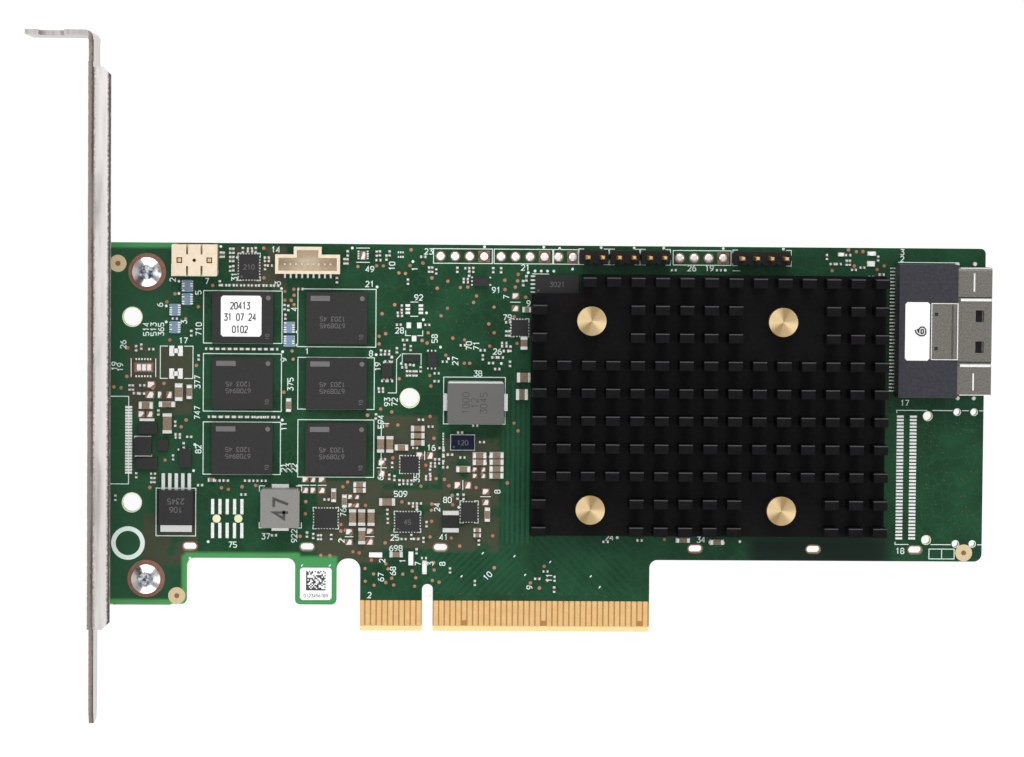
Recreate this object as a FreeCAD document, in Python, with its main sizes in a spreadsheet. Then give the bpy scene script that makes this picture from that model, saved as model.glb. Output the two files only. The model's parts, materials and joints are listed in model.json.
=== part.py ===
"""Raid controller card: a parametric FreeCAD model, one STEP file for each sub-part.

Frame: +X runs along the board away from the bracket, +Y from the edge contacts to the board's
top edge and +Z out of the component side. The origin is the middle of the key notch, at the
contact tips, on the board's component face. Sizes are in millimetres.
"""

import FreeCAD, Part
import math
import os

import Sketcher

doc = FreeCAD.newDocument("raid_controller_card")
sheet = doc.addObject("Spreadsheet::Sheet", "dim")

# ---------------------------------------------------------------------------------------------
# Driving dimensions
# ---------------------------------------------------------------------------------------------

DIMENSIONS = {
    # The board and its edge connector
    "board_long": 155.2,
    "board_tall": 68.1,  # from the contact tips to the top edge
    "board_thick": 1.57,
    "key_from_left": 57.2,  # from the board's bracket end to the key notch
    "board_low": 12.75,  # lower edge to the right of the edge connector
    "tab_low": 4.6,  # lower edge of the two tabs beside the bracket
    "screw_tab_wide": 14.9,
    "label_tab_wide": 7.3,
    "end_slot_wide": 4.15,  # between the label tab and the edge connector
    "finger_long_left": 10.9,  # edge connector left of the key notch
    "finger_long_right": 38.2,  # edge connector right of the key notch
    "key_wide": 1.9,
    "key_top": 8.3,  # closed end of the key notch
    "bevel_tall": 0.94,  # lead-in bevel, up the board
    "bevel_deep": 0.4,  # lead-in bevel, into each face
    "corner_big": 1.4,
    "corner_small": 0.9,
    "tooling_hole": 3.2,
    "tooling_from_left": 5.2,
    "tooling_low_y": 22.45,
    "tooling_pitch": 32.6,
    "tooling_mid_x": -3.35,
    "tooling_mid_y": 41.1,
    "row_hole": 1.0,  # plated hole of the empty header rows
    "row_from_top": 2.0,
    "row_pitch": 2.55,
    "oblong_long": 2.3,  # plated oblong slots along the lower edge
    "oblong_wide": 1.2,
    "oblong_from_low": 2.05,
    "peg_hole": 1.5,  # locating holes of the empty connector place
    "peg_from_right": 9.9,
    "peg_low_y": 16.55,
    "peg_pitch": 21.95,
    "anchor_hole": 1.1,  # anchor holes of the empty connector place
    "anchor_from_right": 4.7,
    "anchor_step_x": 3.0,
    "anchor_low_y": 15.9,
    "anchor_step_y": 23.35,
    # Edge contacts
    "contact_pitch": 1.0,
    "contact_wide": 0.76,
    "contact_thick": 0.05,
    "contact_low": 0.98,  # lower end of a contact, above the bevel
    "contact_top": 5.4,
    "contact_margin": 0.35,  # middle of the first contact, from the connector's left end
    "contact_from_key": 0.55,  # middle of the first contact right of the key notch
    "contact_short": 0.95,  # how much later a short contact starts
    # Bracket
    "sheet_thick": 0.86,
    "board_gap": 0.75,  # between the board's end and the bracket
    "bracket_under": 2.55,  # bracket's solder-side edge, below the board
    "bracket_tall": 120.02,
    "bracket_wide": 18.42,
    "tongue_long": 15.37,  # tongue below the contact tips
    "tab_reach": 10.84,  # screw tab, from the outer face
    "bend_in": 0.6,  # inside radius of the bends
    "flange_low": 1.56,
    "flange_from_top": 6.35,
    "flange_reach": 3.95,
    "flange_corner": 1.36,
    "tongue_wide": 10.19,
    "tongue_taper": 1.6,
    "tongue_taper_long": 2.5,
    "neck_notch": 1.2,  # depth of the neck's side notches
    "neck_from_top": 1.65,
    "neck_notch_long": 3.8,
    "tab_slot_wide": 4.42,
    "tab_slot_deep": 5.1,
    "tab_slot_x": 6.35,  # slot centre from the outer face
    "ear_wide": 9.6,  # the two ears that carry the board
    "ear_reach": 13.6,
    "ear_relief": 0.8,
    # Screws through the board
    "screw_from_bracket": 9.36,
    "screw_low_y": 9.05,
    "screw_pitch": 53.9,
    "screw_head": 5.1,
    "screw_head_tall": 1.7,
    "screw_crown_tall": 0.45,
    "screw_crown_wide": 1.3,
    "screw_shank": 2.9,
    "screw_long": 3.6,
    "screw_clearance": 0.1,
    "recess_long": 2.6,
    "recess_wide": 0.62,
    "recess_deep": 0.9,
    # Controller under the heat sink
    "controller_from_middle_x": 4.025,  # left of the heat sink's middle
    "controller_from_middle_y": 1.575,  # below the heat sink's middle
    "substrate_side": 27.0,
    "substrate_tall": 1.7,
    "lid_side": 22.5,
    "lid_tall": 1.2,
    "gap_pad_side": 21.0,
    "gap_pad_tall": 0.3,
    # Heat sink, between the headers above it and the cable connector beside it
    "sink_left": 17.75,
    "sink_low": 17.45,
    "sink_to_connector": 2.15,
    "sink_to_headers": 1.75,
    "sink_base_tall": 2.2,
    "sink_pin_tall": 5.6,
    "sink_pin_x": 2.4,
    "sink_pin_y": 1.6,
    "sink_pitch_x": 4.25,
    "sink_pitch_y": 4.818,
    "sink_margin_x": 0.1,  # base left of the first pins
    "sink_margin_y": 0.39,  # base below the lowest pins
    "sink_notch_x": 8.75,  # corner cut for the chip beside the heat sink
    "sink_notch_y": 3.35,
    # Spring-loaded push pins
    "push_pitch_x": 33.35,
    "push_pitch_y": 32.9,
    "push_head": 5.06,
    "push_head_tall": 1.7,
    "push_travel": 2.2,  # from the heat sink's base to the underside of the head
    "push_shank": 1.9,
    "push_clearance": 0.5,
    "push_barb": 2.9,
    "push_tail": 2.55,  # below the board
    "push_tip": 1.2,
    "spring_wire": 0.42,
    "spring_mean": 3.5,  # mean coil diameter
    "spring_turns": 3,
    # Memory chips and labels
    "memory_long": 10.65,
    "memory_wide": 9.1,
    "memory_tall": 1.05,
    "memory_left_x": -32.7,
    "memory_pitch_x": 16.45,
    "memory_top_y": 55.1,
    "memory_pitch_y": 11.5,
    "label_thick": 0.1,
    "label_corner": 0.35,
    "memory_label_long": 7.1,
    "memory_label_wide": 7.15,
    "memory_label_shift": 0.25,
    "serial_label_long": 5.55,
    "serial_label_wide": 5.7,
    "serial_label_rise": 0.8,  # from the label tab's lower edge
    "connector_label_long": 4.3,
    "connector_label_wide": 10.2,
    "connector_label_inset": 1.05,
    # Cable connector on the far end
    "cable_from_right": 16.0,
    "cable_from_top": 2.75,
    "cable_long": 23.3,  # along the board's end
    "cable_deep": 10.3,  # across the board's end
    "cable_tall": 6.4,
    "cable_step_wide": 0.6,
    "cable_step_tall": 0.35,
    "shell_deep": 6.0,
    "shell_inset": 0.45,  # inside the housing's ends
    "shell_tall": 6.1,
    "shell_wall": 0.4,
    "shell_groove": 0.8,
    "shell_groove_deep": 0.25,
    "shell_groove_slope": 0.2,
    "shell_leaf": 5.15,
    "shell_corner": 0.6,
    "window_x": 1.45,
    "window_y": 2.05,
    "window_from_end": 1.4,
    "window_step": 5.42,
    "blade_tall": 1.2,
    "blade_deep": 4.6,
    "blade_inset": 2.2,
    "lead_pitch": 0.6,
    "lead_margin": 0.9,
    "lead_wide": 0.24,
    "lead_thick": 0.3,
    "lead_reach": 0.9,
    "plate_from_left": 5.55,
    "plate_wide": 10.0,
    "plate_tall": 0.25,
    "plate_hole": 0.6,
    "plate_hole_from_left": 0.95,
    "plate_hole_step": 6.0,
    "plate_ridge_wide": 1.1,
    "plate_ridge_tall": 0.3,
    # Pin headers
    "header_deep": 2.4,
    "header_tall": 2.54,
    "header_from_top": 1.95,
    "header_pitch": 2.54,
    "header_edge": 0.35,  # chamfers of the plastic strip
    "header_first_x": 26.21,
    "header_gap_1": 0.37,
    "header_gap_2": 0.32,
    "header_gap_3": 11.03,
    "pin_side": 0.64,
    "pin_top": 8.4,
    "pin_tail": 1.2,
    "pin_taper": 0.18,
    "pin_clearance": 0.3,
    # Nine-way signal socket
    "signal_x": -21.35,
    "signal_from_top": 3.55,
    "signal_long": 11.3,
    "signal_wide": 3.35,
    "signal_tall": 3.6,
    "signal_wall": 0.55,
    "signal_floor": 0.9,
    "signal_bay_long": 4.85,
    "signal_bay_deep": 1.35,
    "signal_pitch": 1.0,
    "signal_ways": 9,
    "signal_lead": 0.32,
    "signal_reach": 0.8,
    "signal_post": 1.9,
    # Two-way power socket
    "power_x": -41.0,
    "power_from_top": 2.95,
    "power_long": 7.9,
    "power_wide": 5.4,
    "power_tall": 5.0,
    "power_slot_x": 1.25,
    "power_slot_wide": 0.35,
    "power_slot_long": 1.7,
    "power_pin_x": 2.6,
    "power_pin": 0.64,
    "power_pin_clearance": 0.36,
    "power_pin_sunk": 0.35,
    "power_hole": 0.6,
    "power_depth": 3.4,
    # Inductors, choke and regulator
    "inductor_corner": 0.3,
    "terminal_wide": 3.0,
    "terminal_reach": 0.7,
    "terminal_tall": 1.2,
    "choke_end": 0.75,
    "regulator_tab_long": 5.5,
    "regulator_tab_reach": 1.3,
    "regulator_tab_thick": 0.5,
    "regulator_shoulder": 0.7,  # upright part of the moulded body's sides
    "regulator_slope": 0.3,
    "regulator_lead": 0.6,
    "regulator_lead_pitch": 1.14,
    "regulator_lead_long": 2.9,
    # Small parts
    "corner_lead": 0.3,
    "corner_lead_pitch": 0.7,
    "corner_lead_reach": 0.8,
    "ceramic_end": 0.55,  # length of a capacitor's metal end
    "ceramic_proud": 0.03,  # metal ends stand proud of the ceramic
}


class Size:
    """A driving size, or a sum worked out from several: its number and its sheet formula."""

    def __init__(self, value, text=None):
        self.value = float(value)
        self.text = text if text is not None else repr(float(value))

    @staticmethod
    def of(other):
        """Takes a plain number as a Size too."""
        return other if isinstance(other, Size) else Size(other)

    def __add__(self, other):
        other = Size.of(other)
        return Size(self.value + other.value, f"({self.text} + {other.text})")

    def __sub__(self, other):
        other = Size.of(other)
        return Size(self.value - other.value, f"({self.text} - {other.text})")

    def __mul__(self, other):
        other = Size.of(other)
        return Size(self.value * other.value, f"({self.text} * {other.text})")

    def __truediv__(self, other):
        other = Size.of(other)
        return Size(self.value / other.value, f"({self.text} / {other.text})")

    def __neg__(self):
        return Size(-self.value, f"(0 - {self.text})")

    def nearest(self):
        """Rounds to a whole number."""
        return Size(round(self.value), f"round({self.text})")

    __radd__ = __add__
    __rmul__ = __mul__


class Dimensions:
    """The driving dimensions: each one is an attribute here and an aliased cell in the sheet."""

    def __init__(self, values):
        self.row = 0
        for alias, value in values.items():
            self.add(alias, value)

    def add(self, alias, value):
        """Writes one dimension to the sheet and keeps it as an attribute."""
        self.row += 1
        sheet.set(f"A{self.row}", alias)
        sheet.set(f"B{self.row}", repr(float(value)))
        sheet.setAlias(f"B{self.row}", alias)
        setattr(self, alias, Size(value, f"dim.{alias}"))

    def get(self, alias):
        """Returns a dimension by name."""
        return getattr(self, alias)


d = Dimensions(DIMENSIONS)


def how_many(space, pitch):
    """Returns how many pieces a row of this length holds at a pitch."""
    space, pitch = Size.of(space), Size.of(pitch)
    return Size(math.floor(space.value / pitch.value) + 1,
                f"(floor({space.text} / {pitch.text}) + 1)")


# ---------------------------------------------------------------------------------------------
# Places worked out from the driving dimensions
# ---------------------------------------------------------------------------------------------

board_back = -d.board_thick
board_left = -d.key_from_left
board_right = board_left + d.board_long
board_top = d.board_tall
half_key = d.key_wide / 2
finger_left = -half_key - d.finger_long_left
finger_right = half_key + d.finger_long_right
label_tab_right = finger_left - d.end_slot_wide
label_tab_left = label_tab_right - d.label_tab_wide
screw_tab_right = board_left + d.screw_tab_wide
oblong_y = d.board_low + d.oblong_from_low
row_y = board_top - d.row_from_top

bracket_out = board_left - d.board_gap - d.sheet_thick
bracket_back = board_back - d.bracket_under
bracket_front = bracket_back + d.bracket_wide
bracket_foot = -d.tongue_long
bracket_top = bracket_foot + d.bracket_tall
flange_high = bracket_top - d.flange_from_top
neck_high = bracket_top - d.neck_from_top
neck_low = neck_high - d.neck_notch_long
screw_x = bracket_out + d.screw_from_bracket
screw_hole = d.screw_shank + d.screw_clearance

header_y = board_top - d.header_from_top
pin_hole = d.pin_side + d.pin_clearance
cable_left = board_right - d.cable_from_right
cable_right = cable_left + d.cable_deep
cable_high = board_top - d.cable_from_top
cable_low = cable_high - d.cable_long
cable_middle = cable_low + d.cable_long / 2
shell_low = cable_low + d.shell_inset
shell_high = cable_high - d.shell_inset

lid_bottom = d.substrate_tall
pad_bottom = lid_bottom + d.lid_tall
sink_bottom = pad_bottom + d.gap_pad_tall
sink_top = sink_bottom + d.sink_base_tall
sink_right = cable_left - d.sink_to_connector
sink_high = header_y - d.header_deep / 2 - d.sink_to_headers
sink_long = sink_right - d.sink_left
sink_wide = sink_high - d.sink_low
controller_x = (d.sink_left + sink_right) / 2 - d.controller_from_middle_x
controller_y = (d.sink_low + sink_high) / 2 - d.controller_from_middle_y
push_xs = (controller_x - d.push_pitch_x / 2, controller_x + d.push_pitch_x / 2)
push_ys = (controller_y - d.push_pitch_y / 2, controller_y + d.push_pitch_y / 2)
push_places = [(x, y) for x in push_xs for y in push_ys]
push_hole = d.push_shank + d.push_clearance
push_head_low = sink_top + d.push_travel


# ---------------------------------------------------------------------------------------------
# Helpers
# ---------------------------------------------------------------------------------------------

LABELS = []
EIGHT_SIDE_CORNER = (1 - math.tan(math.pi / 8)) / 2
NEARLY_ROUND = 0.47  # corner radius of a slot's round end, as a share of the slot's width


def bind(obj, path, size):
    """Ties one property of an object to a size's formula."""
    obj.setExpression(path, Size.of(size).text)


def keep(obj, label):
    """Gives a finished sub-part the label that names its file."""
    obj.Label = label
    LABELS.append((label, obj))
    return obj


def new_body(label):
    """Adds a PartDesign body for one sub-part."""
    body = doc.addObject("PartDesign::Body", "Body_" + label)
    return keep(body, label)


def origin_feature(body, role):
    """Finds one of a body's own origin planes or axes by its role."""
    return [f for f in body.Origin.OriginFeatures if f.Role == role][0]


def new_sketch(body, name, plane, level=0.0, x=0.0, y=0.0):
    """Adds a sketch on an origin plane, at a level along the world axis that the plane faces.

    x and y move the sketch's own origin within the plane. The XZ plane faces -Y, so its level
    is turned round here and every level can be given as a plain coordinate.
    """
    sketch = body.newObject("Sketcher::SketchObject", name)
    sketch.AttachmentSupport = (origin_feature(body, plane), [""])
    sketch.MapMode = "FlatFace"
    level = Size.of(level)
    if plane == "XZ_Plane":
        level = -level
    bind(sketch, "AttachmentOffset.Base.x", x)
    bind(sketch, "AttachmentOffset.Base.y", y)
    bind(sketch, "AttachmentOffset.Base.z", level)
    return sketch


def constrain(sketch, kind, *where, size):
    """Adds a dimensional constraint and ties it to a size."""
    size = Size.of(size)
    index = sketch.addConstraint(Sketcher.Constraint(kind, *where, size.value))
    sketch.setExpression(f"Constraints[{index}]", size.text)


def fix_point(sketch, geo, point, x, y):
    """Pins a point of the sketch to two coordinates."""
    constrain(sketch, "DistanceX", -1, 1, geo, point, size=x)
    constrain(sketch, "DistanceY", -1, 1, geo, point, size=y)


def draw_cut_corners(sketch, x, y, wide, tall, cut):
    """Draws a rectangle about its centre with its corners cut off."""
    x, y, half_x, half_y = Size.of(x), Size.of(y), Size.of(wide) / 2, Size.of(tall) / 2
    flat_x, flat_y = half_x - cut, half_y - cut
    draw_outline(sketch, [(x - flat_x, y - half_y), (x + flat_x, y - half_y),
                          (x + half_x, y - flat_y), (x + half_x, y + flat_y),
                          (x + flat_x, y + half_y), (x - flat_x, y + half_y),
                          (x - half_x, y + flat_y), (x - half_x, y - flat_y)])


def draw_eight_sides(sketch, x, y, across):
    """Draws a small round form, such as a drilled hole, with eight sides to keep facets few."""
    draw_cut_corners(sketch, x, y, across, across, Size.of(across) * EIGHT_SIDE_CORNER)


def draw_circle(sketch, x, y, diameter):
    """Draws a circle at a place."""
    x, y, diameter = Size.of(x), Size.of(y), Size.of(diameter)
    centre = FreeCAD.Vector(x.value, y.value, 0)
    geo = sketch.addGeometry(Part.Circle(centre, FreeCAD.Vector(0, 0, 1), diameter.value / 2), False)
    fix_point(sketch, geo, 3, x, y)
    constrain(sketch, "Diameter", geo, size=diameter)


def corner_arc(corner, back, ahead, radius):
    """Returns the arc that rounds a square corner, from its incoming to its outgoing side."""
    point = FreeCAD.Vector(corner[0].value, corner[1].value, 0)
    r = radius.value
    start = point - back * r
    end = point + ahead * r
    centre = point - back * r + ahead * r
    middle = centre + (point - centre).normalize() * r
    return Part.Arc(start, middle, end)


def draw_outline(sketch, corners):
    """Draws a closed outline of straight sides.

    Each corner is (x, y) or (x, y, radius), and a corner with a radius lies between two sides
    at right angles that run along the sketch's axes. Every end is pinned to its coordinates.
    """
    ready = []
    for corner in corners:
        radius = Size.of(corner[2]) if len(corner) > 2 else None
        ready.append((Size.of(corner[0]), Size.of(corner[1]), radius))
    count = len(ready)
    directions = []
    for index in range(count):
        here, there = ready[index], ready[(index + 1) % count]
        step = FreeCAD.Vector(there[0].value - here[0].value, there[1].value - here[1].value, 0)
        directions.append(step.normalize())
    lines = []
    for index in range(count):
        here, there = ready[index], ready[(index + 1) % count]
        way = directions[index]
        start_x, start_y, end_x, end_y = here[0], here[1], there[0], there[1]
        if here[2] is not None:
            start_x = start_x + here[2] * round(way.x)
            start_y = start_y + here[2] * round(way.y)
        if there[2] is not None:
            end_x = end_x - there[2] * round(way.x)
            end_y = end_y - there[2] * round(way.y)
        start = FreeCAD.Vector(start_x.value, start_y.value, 0)
        end = FreeCAD.Vector(end_x.value, end_y.value, 0)
        geo = sketch.addGeometry(Part.LineSegment(start, end), False)
        fix_point(sketch, geo, 1, start_x, start_y)
        if there[2] is not None:
            fix_point(sketch, geo, 2, end_x, end_y)
        lines.append(geo)
    for index in range(count):
        there = ready[(index + 1) % count]
        line, following = lines[index], lines[(index + 1) % count]
        if there[2] is None:
            sketch.addConstraint(Sketcher.Constraint("Coincident", line, 2, following, 1))
            continue
        arc = corner_arc(there, directions[index], directions[(index + 1) % count], there[2])
        geo = sketch.addGeometry(arc, False)
        ends = sketch.getPoint(geo, 1), sketch.getPoint(geo, 2)
        line_end = sketch.getPoint(line, 2)
        first = 1 if (ends[0] - line_end).Length < (ends[1] - line_end).Length else 2
        sketch.addConstraint(Sketcher.Constraint("Coincident", geo, first, line, 2))
        sketch.addConstraint(Sketcher.Constraint("Coincident", geo, 3 - first, following, 1))
        constrain(sketch, "Radius", geo, size=there[2])


def draw_box(sketch, left, low, right, high, radius=None):
    """Draws an upright rectangle, with rounded corners where a radius is given."""
    tail = () if radius is None else (radius,)
    draw_outline(sketch, [(left, low) + tail, (right, low) + tail,
                          (right, high) + tail, (left, high) + tail])


def draw_centred(sketch, x, y, wide, tall, radius=None):
    """Draws a rectangle about its centre."""
    half_x, half_y = Size.of(wide) / 2, Size.of(tall) / 2
    x, y = Size.of(x), Size.of(y)
    draw_box(sketch, x - half_x, y - half_y, x + half_x, y + half_y, radius)


def pad(body, sketch, length, backward=False, both_ways=False):
    """Pads a sketch by a length, along its plane's normal unless backward."""
    feature = body.newObject("PartDesign::Pad", sketch.Name + "_pad")
    feature.Profile = sketch
    feature.Reversed = backward
    feature.Midplane = both_ways
    bind(feature, "Length", length)
    body.Tip = feature
    return feature


def pocket(body, sketch, length=None, forward=False, both_ways=False):
    """Cuts a sketch through the body, against its plane's normal unless forward."""
    feature = body.newObject("PartDesign::Pocket", sketch.Name + "_pocket")
    feature.Profile = sketch
    feature.Reversed = forward
    feature.Midplane = both_ways
    if length is None:
        feature.Type = "ThroughAll"
    else:
        bind(feature, "Length", length)
    body.Tip = feature
    return feature


def revolve(body, sketch, axis="V_Axis"):
    """Turns a sketch about one of its axes."""
    feature = body.newObject("PartDesign::Revolution", sketch.Name + "_turned")
    feature.Profile = sketch
    feature.ReferenceAxis = (sketch, [axis])
    feature.Angle = 360
    body.Tip = feature
    return feature


def repeat(body, feature, sketch, axis, pitch, count):
    """Repeats a feature in a straight row along one of a sketch's axes."""
    row = body.newObject("PartDesign::LinearPattern", feature.Name + "_row")
    row.Originals = [feature]
    row.Direction = (sketch, [axis])
    bind(row, "Length", pitch * (count - 1))
    bind(row, "Occurrences", count)
    body.Tip = row
    return row


def new_block(name, x, y, bottom, long, wide, tall):
    """Adds a Part box by its centre and its underside."""
    x, y, long, wide = Size.of(x), Size.of(y), Size.of(long), Size.of(wide)
    block = doc.addObject("Part::Box", name)
    bind(block, "Length", long)
    bind(block, "Width", wide)
    bind(block, "Height", tall)
    bind(block, "Placement.Base.x", x - long / 2)
    bind(block, "Placement.Base.y", y - wide / 2)
    bind(block, "Placement.Base.z", bottom)
    return block


def new_group(label, members):
    """Gathers separate solids of one kind into one sub-part."""
    group = doc.addObject("Part::Compound", "Group_" + label)
    group.Links = members
    return keep(group, label)


def linked(source, name, x, y, z=0.0):
    """Places one more copy of a finished object by a link."""
    link = doc.addObject("App::Link", name)
    link.LinkedObject = source
    bind(link, "Placement.Base.x", x)
    bind(link, "Placement.Base.y", y)
    bind(link, "Placement.Base.z", z)
    return link


def place(name, x, y, long, wide, tall):
    """Adds the driving place and sizes of a small part."""
    for suffix, value in (("_x", x), ("_y", y), ("_long", long), ("_wide", wide), ("_tall", tall)):
        d.add(name + suffix, value)


def block_at(name):
    """Builds the box of a small part from its driving place and sizes."""
    return new_block("Box_" + name, d.get(name + "_x"), d.get(name + "_y"), 0.0,
                     d.get(name + "_long"), d.get(name + "_wide"), d.get(name + "_tall"))


# ---------------------------------------------------------------------------------------------
# Circuit board
# ---------------------------------------------------------------------------------------------

HEADER_WAYS = {"jumper_base_1": 2, "jumper_base_2": 2, "jumper_base_3": 2, "jumper_base_4": 4}
ROW_PLACES = {"row_1": (1.9, 4), "row_2": (12.5, 4), "row_3": (22.6, 2), "row_4": (43.95, 4)}
SHORT_CONTACTS = (6, 20, 37)  # on the component face, counted from the key notch
OBLONG_PLACES = {"oblong_1": -41.8, "oblong_2": -21.2, "oblong_3": 2.25, "oblong_4": 47.2,
                 "oblong_5": 68.1, "oblong_6": 86.15}


def header_places():
    """Returns each pin header's left end: each one starts a named gap after the last."""
    places = {}
    left = d.header_first_x
    gaps = (d.header_gap_1, d.header_gap_2, d.header_gap_3, Size(0))
    for (name, ways), gap in zip(HEADER_WAYS.items(), gaps):
        places[name] = left
        left = left + d.header_pitch * ways + gap
    return places


def build_board():
    """The laminate: its outline, lead-in bevels and every drilled or milled hole."""
    body = new_body("circuit_board")
    small, big = d.corner_small, d.corner_big
    slot_corner = d.end_slot_wide * NEARLY_ROUND
    key_corner = d.key_wide * NEARLY_ROUND
    outline = new_sketch(body, "board_outline", "XY_Plane", board_back)
    draw_outline(outline, [
        (board_left, board_top, small),
        (board_left, d.tab_low, small),
        (screw_tab_right, d.tab_low, small),
        (screw_tab_right, d.board_low, big),
        (label_tab_left, d.board_low, big),
        (label_tab_left, d.tab_low, small),
        (label_tab_right, d.tab_low, small),
        (label_tab_right, d.board_low, slot_corner),
        (finger_left, d.board_low, slot_corner),
        (finger_left, 0.0),
        (-half_key, 0.0),
        (-half_key, d.key_top, key_corner),
        (half_key, d.key_top, key_corner),
        (half_key, 0.0),
        (finger_right, 0.0),
        (finger_right, d.board_low, big),
        (board_right, d.board_low, big),
        (board_right, board_top, small),
    ])
    pad(body, outline, d.board_thick)

    bevel = new_sketch(body, "lead_in_bevel", "YZ_Plane")
    over = Size(0.5)
    draw_outline(bevel, [(0.0, -d.bevel_deep), (d.bevel_tall, 0.0), (d.bevel_tall, over),
                         (-over, over), (-over, -d.bevel_deep)])
    back = board_back + d.bevel_deep
    draw_outline(bevel, [(0.0, back), (d.bevel_tall, board_back),
                         (d.bevel_tall, board_back - over), (-over, board_back - over),
                         (-over, back)])
    pocket(body, bevel, board_right * 2, both_ways=True)

    holes = new_sketch(body, "board_holes", "XY_Plane")
    tooling_x = board_left + d.tooling_from_left
    draw_circle(holes, tooling_x, d.tooling_low_y, d.tooling_hole)
    draw_circle(holes, tooling_x, d.tooling_low_y + d.tooling_pitch, d.tooling_hole)
    draw_circle(holes, d.tooling_mid_x, d.tooling_mid_y, d.tooling_hole)
    draw_circle(holes, screw_x, d.screw_low_y, screw_hole)
    draw_circle(holes, screw_x, d.screw_low_y + d.screw_pitch, screw_hole)
    peg_x = board_right - d.peg_from_right
    draw_circle(holes, peg_x, d.peg_low_y, d.peg_hole)
    draw_circle(holes, peg_x, d.peg_low_y + d.peg_pitch, d.peg_hole)
    pocket(body, holes, d.board_thick * 3, both_ways=True)

    push_holes = new_sketch(body, "board_push_holes", "XY_Plane")
    for x, y in push_places:
        draw_eight_sides(push_holes, x, y, push_hole)
    pocket(body, push_holes, d.board_thick * 3, both_ways=True)
    anchors = new_sketch(body, "board_anchor_holes", "XY_Plane")
    for column in range(2):
        for row in range(2):
            draw_eight_sides(anchors, board_right - d.anchor_from_right + d.anchor_step_x * column,
                            d.anchor_low_y + d.anchor_step_y * row, d.anchor_hole)
    pocket(body, anchors, d.board_thick * 3, both_ways=True)

    rows = []
    for name, (first, count) in ROW_PLACES.items():
        d.add(name + "_x", first)
        rows.append((name, d.get(name + "_x"), row_y, d.row_hole, d.row_pitch, count))
    for name, left in header_places().items():
        rows.append((name, left + d.header_pitch / 2, header_y, pin_hole, d.header_pitch,
                     HEADER_WAYS[name]))
    for name, x, y, across, pitch, count in rows:
        row = new_sketch(body, name + "_holes", "XY_Plane")
        for index in range(int(count)):
            draw_eight_sides(row, x + pitch * index, y, across)
        pocket(body, row, d.board_thick * 3, both_ways=True)

    for name, x in OBLONG_PLACES.items():
        d.add(name + "_x", x)
        slot = new_sketch(body, name + "_slot", "XY_Plane")
        draw_cut_corners(slot, d.get(name + "_x"), oblong_y, d.oblong_long, d.oblong_wide,
                         d.oblong_wide * EIGHT_SIDE_CORNER)
        pocket(body, slot, d.board_thick * 3, both_ways=True)


def contact_rows():
    """Returns the first contact's middle and the count, left and right of the key notch."""
    first_left = finger_left + d.contact_margin
    first_right = half_key + d.contact_from_key
    half = d.contact_wide / 2
    count_left = how_many(-half_key - half - first_left, d.contact_pitch)
    count_right = how_many(finger_right - half - first_right, d.contact_pitch)
    return (("left", first_left, count_left), ("right", first_right, count_right))


def build_contacts(label, level, short=()):
    """One face's gold edge contacts: two rows either side of the key notch.

    Short contacts, given by their numbers right of the key notch, meet their partners later
    than the others.
    """
    body = new_body(label)
    half = d.contact_wide / 2
    for side, first, count in contact_rows():
        sketch = new_sketch(body, f"{label}_{side}", "XY_Plane", level, x=first)
        draw_box(sketch, -half, d.contact_low, half, d.contact_top)
        feature = pad(body, sketch, d.contact_thick)
        repeat(body, feature, sketch, "H_Axis", d.contact_pitch, count)
        if side == "right" and short:
            trim = new_sketch(body, "short_contacts", "XY_Plane", level, x=first)
            for number in short:
                x = d.contact_pitch * (number - 1)
                draw_box(trim, x - half, d.contact_low, x + half, d.contact_low + d.contact_short)
            pocket(body, trim, d.contact_thick, forward=True)


build_board()
build_contacts("edge_contacts_front", 0.0, short=SHORT_CONTACTS)
build_contacts("edge_contacts_back", board_back - d.contact_thick)


# ---------------------------------------------------------------------------------------------
# Bracket and its screws
# ---------------------------------------------------------------------------------------------

def folded_profile(sketch, reach, drop, toward):
    """Draws a folded strip's section: a leg along the plate and a leg that leaves it.

    The sketch's origin is the outer corner of the fold. The first leg runs down by drop and
    the second runs sideways by reach, to the right for toward = 1 and to the left for -1.
    """
    thick = d.sheet_thick
    outside = d.bend_in + thick
    if toward > 0:
        corners = [(0.0, 0.0, outside), (0.0, -drop), (thick, -drop),
                   (thick, -thick, d.bend_in), (reach, -thick), (reach, 0.0)]
    else:
        corners = [(thick, 0.0, outside), (thick, -drop), (0.0, -drop),
                   (0.0, -thick, d.bend_in), (-reach, -thick), (-reach, 0.0)]
    draw_outline(sketch, corners)


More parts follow.
